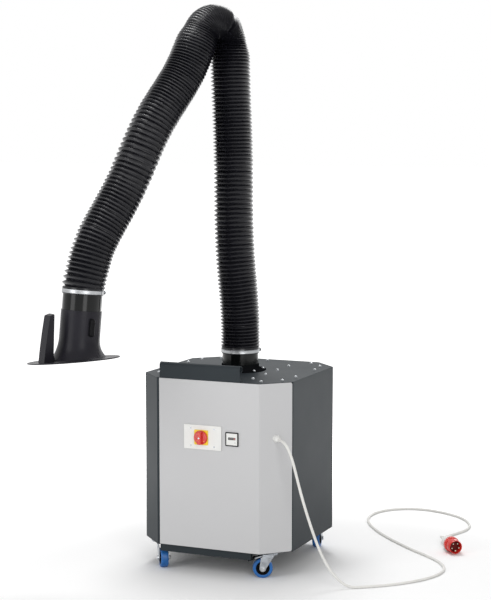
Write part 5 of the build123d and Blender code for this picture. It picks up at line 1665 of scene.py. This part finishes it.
@dataclass(frozen=True)
class HoseClamps:
    """The two worm clamps that hold the hose on the collar and on the hood's sleeve.

    A turn of 0 degrees puts the screw housing a quarter turn round from the frame's X.
    """

    hose: Hose
    base_height: float = 864.3
    base_turn: float = -45.0
    hood_drop: float = 7.7
    hood_turn: float = 75.0

    def build(self, nodes: dict[str, bpy.types.Object]) -> None:
        """Makes both clamps.

        Args:
            nodes: the frame's nodes.
        """
        arm, line = self.hose.arm, self.hose.line
        axis = line.hood_axis(arm)
        base = frame_at(arm.site.point(0, 0, self.base_height), upright(), level(0.0))
        hood_spot = line.hood_clamp(arm) - axis * (self.hood_drop * MM)
        hood = frame_at(hood_spot, axis, level(arm.azimuth))
        for node, place, tube, turn in (
            ("hose_clamp_base", base, self.hose.base_tube, self.base_turn),
            ("hose_clamp_hood", hood, self.hose.hood_tube, self.hood_turn),
        ):
            turned = place @ Matrix.Rotation(math.radians(turn), 4, "Z")
            WormClamp(node, nodes[node]["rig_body"], turned, tube).build()


def front_place(node: str) -> Matrix:
    """Frame on the front of a node of the panel: X to the right, Y up, Z out.

    Args:
        node: name of the node.

    Returns:
        The frame, in metres.
    """
    low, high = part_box(node)
    spot = Vector(((low.x + high.x) / 2, low.y, (low.z + high.z) / 2))
    return frame_at(spot, level(-90.0), level(0.0))


@dataclass(frozen=True)
class HourMeter:
    """Counter on the meter's white face: a black window with six figure drums."""

    body: str
    window: Point2 = (31.0, 9.5)
    window_round: float = 1.2
    window_height: float = 2.5
    drum: Point2 = (4.0, 6.8)
    drum_round: float = 0.4
    drum_pitch: float = 4.6
    figure: Point2 = (2.2, 4.4)
    stroke: float = 0.6
    pip_radius: float = 1.5
    pip_place: Point2 = (14.0, -13.0)
    # Lower and upper height over the face of the window, the drums, the figures and the pip.
    window_levels: Point2 = (-0.2, 0.35)
    drum_levels: Point2 = (0.2, 0.55)
    figure_levels: Point2 = (0.5, 0.7)
    pip_levels: Point2 = (-0.2, 0.5)
    reading: str = "000463"
    lit: tuple[str, ...] = (
        "abcdef", "bc", "abged", "abgcd", "fgbc", "afgcd", "afgedc", "abc", "abcdefg", "abcdfg"
    )

    def strokes(self, figure: int) -> list[list[Point2]]:
        """Bars of one figure.

        Args:
            figure: the figure, from 0 to 9.

        Returns:
            The outline of each lit bar.
        """
        w, h, t = self.figure[0] / 2, self.figure[1] / 2, self.stroke
        bars = {"a": (0.0, h), "g": (0.0, 0.0), "d": (0.0, -h)}
        bars |= {"b": (w, h / 2), "c": (w, -h / 2), "e": (-w, -h / 2), "f": (-w, h / 2)}
        flat, upright_bar = rectangle(2 * w + t, t), rectangle(t, h + t)
        return [
            moved(flat if letter in "agd" else upright_bar, *bars[letter])
            for letter in self.lit[figure]
        ]

    def build(self) -> None:
        """Makes the window, the drums and the figures."""
        place = front_place("hour_meter_face")
        lift = self.window_height
        frame, black, red, figures, pip = Draft(), Draft(), Draft(), Draft(), Draft()
        window = moved(rounded(rectangle(*self.window), self.window_round), 0.0, lift)
        frame.add_prism(window, *self.window_levels, place)
        last = len(self.reading) - 1
        for index, letter in enumerate(self.reading):
            x = self.drum_pitch * (index - last / 2)
            outline = moved(rounded(rectangle(*self.drum), self.drum_round), x, lift)
            drum = red if index == last else black
            drum.add_prism(outline, *self.drum_levels, place)
            for bar in self.strokes(int(letter)):
                figures.add_prism(moved(bar, x, lift), *self.figure_levels, place)
        pip.add_prism(moved(regular(self.pip_radius, 24), *self.pip_place), *self.pip_levels, place)
        for name, draft, finish in (
            ("meter_window", frame, BLACK_NYLON),
            ("meter_drums", black, BLACK_NYLON),
            ("meter_last_drum", red, RED_POLYCARBONATE),
            ("meter_figures", figures, WHITE_ABS),
            ("meter_running_pip", pip, GREY_ABS),
        ):
            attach(draft.piece(name, finish), self.body)
        LOG.info("hour meter")


@dataclass(frozen=True)
class KnobDetails:
    """Centre screw of the rotary knob and two index marks on its base."""

    body: str
    knob_height: float = 22.0
    base_height: float = 8.0
    screw: Profile = (
        (ON_AXIS, -0.3), (3.6, -0.3), (3.6, 0.5), (2.8, 1.1), (1.4, 1.3), (1.4, 0.4),
        (ON_AXIS, 0.4),
    )
    mark: Point2 = (6.0, 3.0)
    mark_round: float = 1.4
    mark_place: Point2 = (14.5, -13.0)
    mark_levels: Point2 = (-0.3, 0.5)
    mark_bevel: float = 0.3

    def build(self) -> None:
        """Makes the screw and the marks."""
        place = front_place("switch_knob")
        screw, marks = Draft(), Draft()
        screw.add_turned(self.screw, place, 32, Caps.FLAT)
        low, high = (self.base_height - self.knob_height + part for part in self.mark_levels)
        for side in (-1, 1):
            outline = rounded(rectangle(*self.mark), self.mark_round)
            outline = moved(outline, side * self.mark_place[0], self.mark_place[1])
            marks.add_prism(outline, low, high, place)
        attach(screw.piece("knob_centre_screw", SCREW_ZINC), self.body)
        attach(marks.piece("knob_index_marks", ORANGE_ABS, self.mark_bevel), self.body)
        LOG.info("rotary knob")


@dataclass(frozen=True)
class PlugShroud:
    """Red shroud and fluted ring of the plug, with the insert that holds its pins, its red darkened
    with painted shade.
    """

    site: Site
    body: str
    front: Point3 = (819.0, 381.0, 33.0)
    axis: Point3 = (0.6, -0.8, 0.0)
    shroud: Profile = (
        (ON_AXIS, -39.0), (24.9, -39.0), (24.9, -1.2), (25.6, 0.0), (27.3, 0.0), (28.0, -0.9),
        (28.0, -40.8), (29.2, -41.8), (31.4, -42.0), (33.0, -44.0), (33.0, -52.0),
        (33.0, -60.0), (31.6, -62.0), (ON_AXIS, -62.0),
    )
    insert: Profile = (
        (ON_AXIS, -39.2), (24.6, -39.2), (24.6, -31.0), (23.8, -30.2), (ON_AXIS, -30.2)
    )
    flutes: int = 22
    fluted_radius: float = 31.0
    flute_depth: float = 1.1
    key: Point2 = (3.2, 6.0)
    key_round: float = 0.8
    key_place: float = -28.2
    key_levels: Point2 = (-41.0, -2.0)

    def flute(self, radius: float, height: float, turn: float) -> float:
        """Depth of the grip flutes round the wide ring at the back.

        Args:
            radius: radius of the profile's point.
            height: height of the profile's point.
            turn: angle round the axis.

        Returns:
            The depth in millimetres.
        """
        if radius <= self.fluted_radius:
            return 0.0
        return self.flute_depth * (0.5 + 0.5 * math.cos(self.flutes * turn)) ** 2

    def build(self) -> bpy.types.Object:
        """Makes the shroud and the insert.

        Returns:
            The shroud.
        """
        place = frame_at(self.site.point(*self.front), Vector(self.axis), upright())
        shroud, insert = Draft(), Draft()
        shroud.add_turned(self.shroud, place, self.flutes * FLUTE_STEPS, Caps.FLAT, self.flute)
        key = moved(rounded(rectangle(*self.key), self.key_round), self.key_place)
        shroud.add_prism(key, *self.key_levels, place)
        piece = shroud.piece("plug_shroud", RED_POLYCARBONATE)
        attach(piece, self.body)
        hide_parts("plug_collar")
        insert.add_turned(self.insert, place, 64, Caps.FLAT)
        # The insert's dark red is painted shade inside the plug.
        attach(insert.piece("plug_insert", RED_POLYCARBONATE_PAINTED_SHADE), self.body)
        LOG.info("plug shroud")
        return piece


# Drawn nodes that keep their shape


@dataclass(frozen=True)
class DrawnPieces:
    """Pieces that keep the drawn shape, with softened edges and a real surface."""

    nodes: dict[str, bpy.types.Object]

    def dress(self) -> dict[str, bpy.types.Object]:
        """Dresses every drawn node in the table.

        Returns:
            The shown object of each node.
        """
        shown = {}
        for node, (finish, radius) in DRESSED_NODES.items():
            source = self.nodes[node]
            if radius is None:
                for slot in source.material_slots:
                    slot.material = finish.material()
                shown[node] = source
                continue
            piece = dressed(node + "_finished", source.data.copy(), finish, radius)
            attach(piece, source["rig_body"])
            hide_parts(node)
            shown[node] = piece
            LOG.info("%s: %d faces", node, len(piece.data.polygons))
        return shown


@dataclass(frozen=True)
class CasterWheel:
    """Blue tyre on a black hub with spokes."""

    name: str
    heading: float
    radius: float = 40.0
    width: float = 30.0
    tyre_sunk: float = 0.4
    crown: Point2 = (1.6, 6.0)
    crown_round: float = 3.2
    hub_radius: float = 27.0
    hub_width: float = 34.0
    # Each point of half the rim's section: over the hub's radius, and in from the tyre's side.
    rim: Profile = ((-4.0, 2.0), (-0.5, -0.6), (0.2, 1.0))
    rim_round: float = 0.8
    boss_round: float = 1.0
    boss_radius: float = 11.0
    bore: float = 5.1
    web_half: float = 4.0
    web_overlap: float = 0.5
    spokes: int = 6
    spoke_width: float = 3.2
    spoke_inset: float = 3.0

    def build(self) -> None:
        """Makes the tyre and the hub."""
        node = "wheel_" + self.name
        low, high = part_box(node)
        place = frame_at((low + high) / 2, level(self.heading + 90.0), upright())
        half = self.width / 2
        foot = self.hub_radius - self.tyre_sunk
        inset, slope = self.crown
        tread = [
            (foot, -half), (self.radius - inset, -half), (self.radius, slope - half),
            (self.radius, half - slope), (self.radius - inset, half), (foot, half),
        ]
        tyre, hub = Draft(), Draft()
        tyre.add_turned(rounded(tread, self.crown_round, 4), place, 96)
        rim = [(self.hub_radius + out, depth - half) for out, depth in self.rim]
        rim += [(reach, -height) for reach, height in reversed(rim)]
        hub.add_turned(rounded(rim, self.rim_round), place, 64)
        boss_middle, boss_wall = (self.boss_radius + self.bore) / 2, self.boss_radius - self.bore
        boss = moved(rectangle(boss_wall, self.hub_width), boss_middle)
        hub.add_turned(rounded(boss, self.boss_round), place, 48)
        reach = self.hub_radius - self.spoke_inset
        web_start = self.boss_radius - self.web_overlap
        web = moved(rectangle(reach - web_start, 2 * self.web_half), (reach + web_start) / 2)
        hub.add_turned(web, place, 64)
        length = reach - self.boss_radius + 2 * self.web_overlap
        outline = moved(rectangle(length, self.spoke_width), (self.boss_radius + reach) / 2)
        for index in range(self.spokes):
            spoke = place @ Matrix.Rotation(math.tau * index / self.spokes, 4, "Z")
            hub.add_prism(outline, self.spoke_inset - half, half - self.spoke_inset, spoke)
        for piece in (
            tyre.piece("tyre_" + self.name, BLUE_TYRE),
            hub.piece("hub_" + self.name, BLACK_NYLON),
        ):
            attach(piece, node)
            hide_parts(node)
        LOG.info("caster wheel %s", self.name)


@dataclass(frozen=True)
class CasterFittings:
    """Hexagon nuts on a caster's axle, and the rubber cap of its brake lever."""

    site: Site
    name: str
    heading: float
    braked: bool
    king_pin: float = 243.0
    trail: float = 36.0
    axle_height: float = 40.0
    cheek: float = 21.5
    sunk: float = 0.2
    nut_radius: float = 9.3
    nut_height: float = 5.4
    nut_round: float = 0.8
    nut_bevel: float = 0.3
    bolt_radius: float = 4.6
    bolt_height: float = 7.0
    bolt_chamfer: float = 0.8
    lever_start: float = 31.0
    lever_height: float = 91.0
    lever_slope: float = 17.0
    cap_start: float = 36.0
    cap_end: float = 68.0
    cap_width: float = 30.0
    cap_round: float = 6.0
    cap_thickness: float = 8.0
    cap_bevel: float = 1.2
    ridges: int = 5
    ridge: Point2 = (1.4, 21.0)
    ridge_start: float = 6.0
    ridge_pitch: float = 5.0
    ridge_height: float = 0.5

    def point(self, ahead: float, height: float) -> Vector:
        """Point ahead of the king pin and over the floor.

        Args:
            ahead: distance from the king pin towards the wheel.
            height: height over the floor.

        Returns:
            The point, in millimetres about the swivel axis.
        """
        x = -self.king_pin if "left" in self.name else self.king_pin
        y = -self.king_pin if "front" in self.name else self.king_pin
        return Vector((x, y, height)) + level(self.heading) * ahead

    def nuts(self) -> None:
        """Makes the nuts and the ends of the axle."""
        ahead, side = level(self.heading), level(self.heading + 90.0)
        axle = self.point(self.trail, self.axle_height)
        draft = Draft()
        hexagon = rounded(regular(self.nut_radius), self.nut_round)
        radius, top, chamfer = self.bolt_radius, self.bolt_height, self.bolt_chamfer
        bolt = (
            (ON_AXIS, 0.0), (radius, 0.0), (radius, top - chamfer), (radius - chamfer, top),
            (ON_AXIS, top),
        )
        for way in (-side, side):
            place = frame_at(self.site.point(*(axle + way * self.cheek)), way, ahead)
            draft.add_prism(hexagon, -self.sunk, self.nut_height, place)
            draft.add_turned(bolt, place, 32, Caps.FLAT)
        nuts = draft.piece("axle_nuts_" + self.name, SCREW_ZINC, self.nut_bevel)
        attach(nuts, "fork_" + self.name)

    def cap(self) -> None:
        """Makes the ridged cap of the brake lever."""
        slope = math.radians(self.lever_slope)
        along = level(self.heading) * math.cos(slope) - upright(math.sin(slope))
        start = self.site.point(*self.point(self.lever_start, self.lever_height))
        place = frame_at(start, along.cross(level(self.heading + 90.0)), along)
        draft = Draft()
        body = rounded(
            rectangle(self.cap_end - self.cap_start, self.cap_width), self.cap_round, 6
        )
        half = self.cap_thickness / 2
        draft.add_prism(moved(body, (self.cap_end + self.cap_start) / 2), -half, half, place)
        for index in range(self.ridges):
            spot = self.cap_start + self.ridge_start + self.ridge_pitch * index
            ridge = moved(rectangle(*self.ridge), spot)
            draft.add_prism(ridge, half - self.sunk, half + self.ridge_height, place)
        cap = draft.piece("pedal_cap_" + self.name, BLACK_NYLON, self.cap_bevel)
        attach(cap, "pedal_" + self.name)

    def build(self) -> None:
        """Makes the nuts, and the cap where there is a brake."""
        self.nuts()
        if self.braked:
            self.cap()
        LOG.info("caster fittings %s", self.name)


def main() -> None:
    """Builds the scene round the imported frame."""
    logging.basicConfig(level=logging.INFO, format="%(message)s")
    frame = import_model()
    bpy.context.scene.view_settings.view_transform = "Standard"
    site = Site.from_frame()
    studio = Studio(site)
    studio.camera()
    gland = Gland(site).build()
    nodes = frame["nodes"]
    shown = DrawnPieces(nodes).dress()
    shroud = PlugShroud(site, nodes["plug_body"]["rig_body"]).build()
    MainsCord(site).build([gland, shown["plug_body"], shroud, shown["plug_pins"]])
    hose = Hose(ArmPlane(site), HoseLine())
    hose.build()
    for name, (heading, braked) in CASTERS.items():
        CasterWheel(name, heading).build()
        CasterFittings(site, name, heading, braked).build()
    ScrewHeads(nodes["cabinet_screws"]).build()
    HourMeter(nodes["hour_meter_face"]["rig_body"]).build()
    KnobDetails(nodes["switch_knob"]["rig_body"]).build()
    HoseClamps(hose).build(nodes)
    studio.lights()
    studio.floor()


if __name__ == "__main__":
    main()
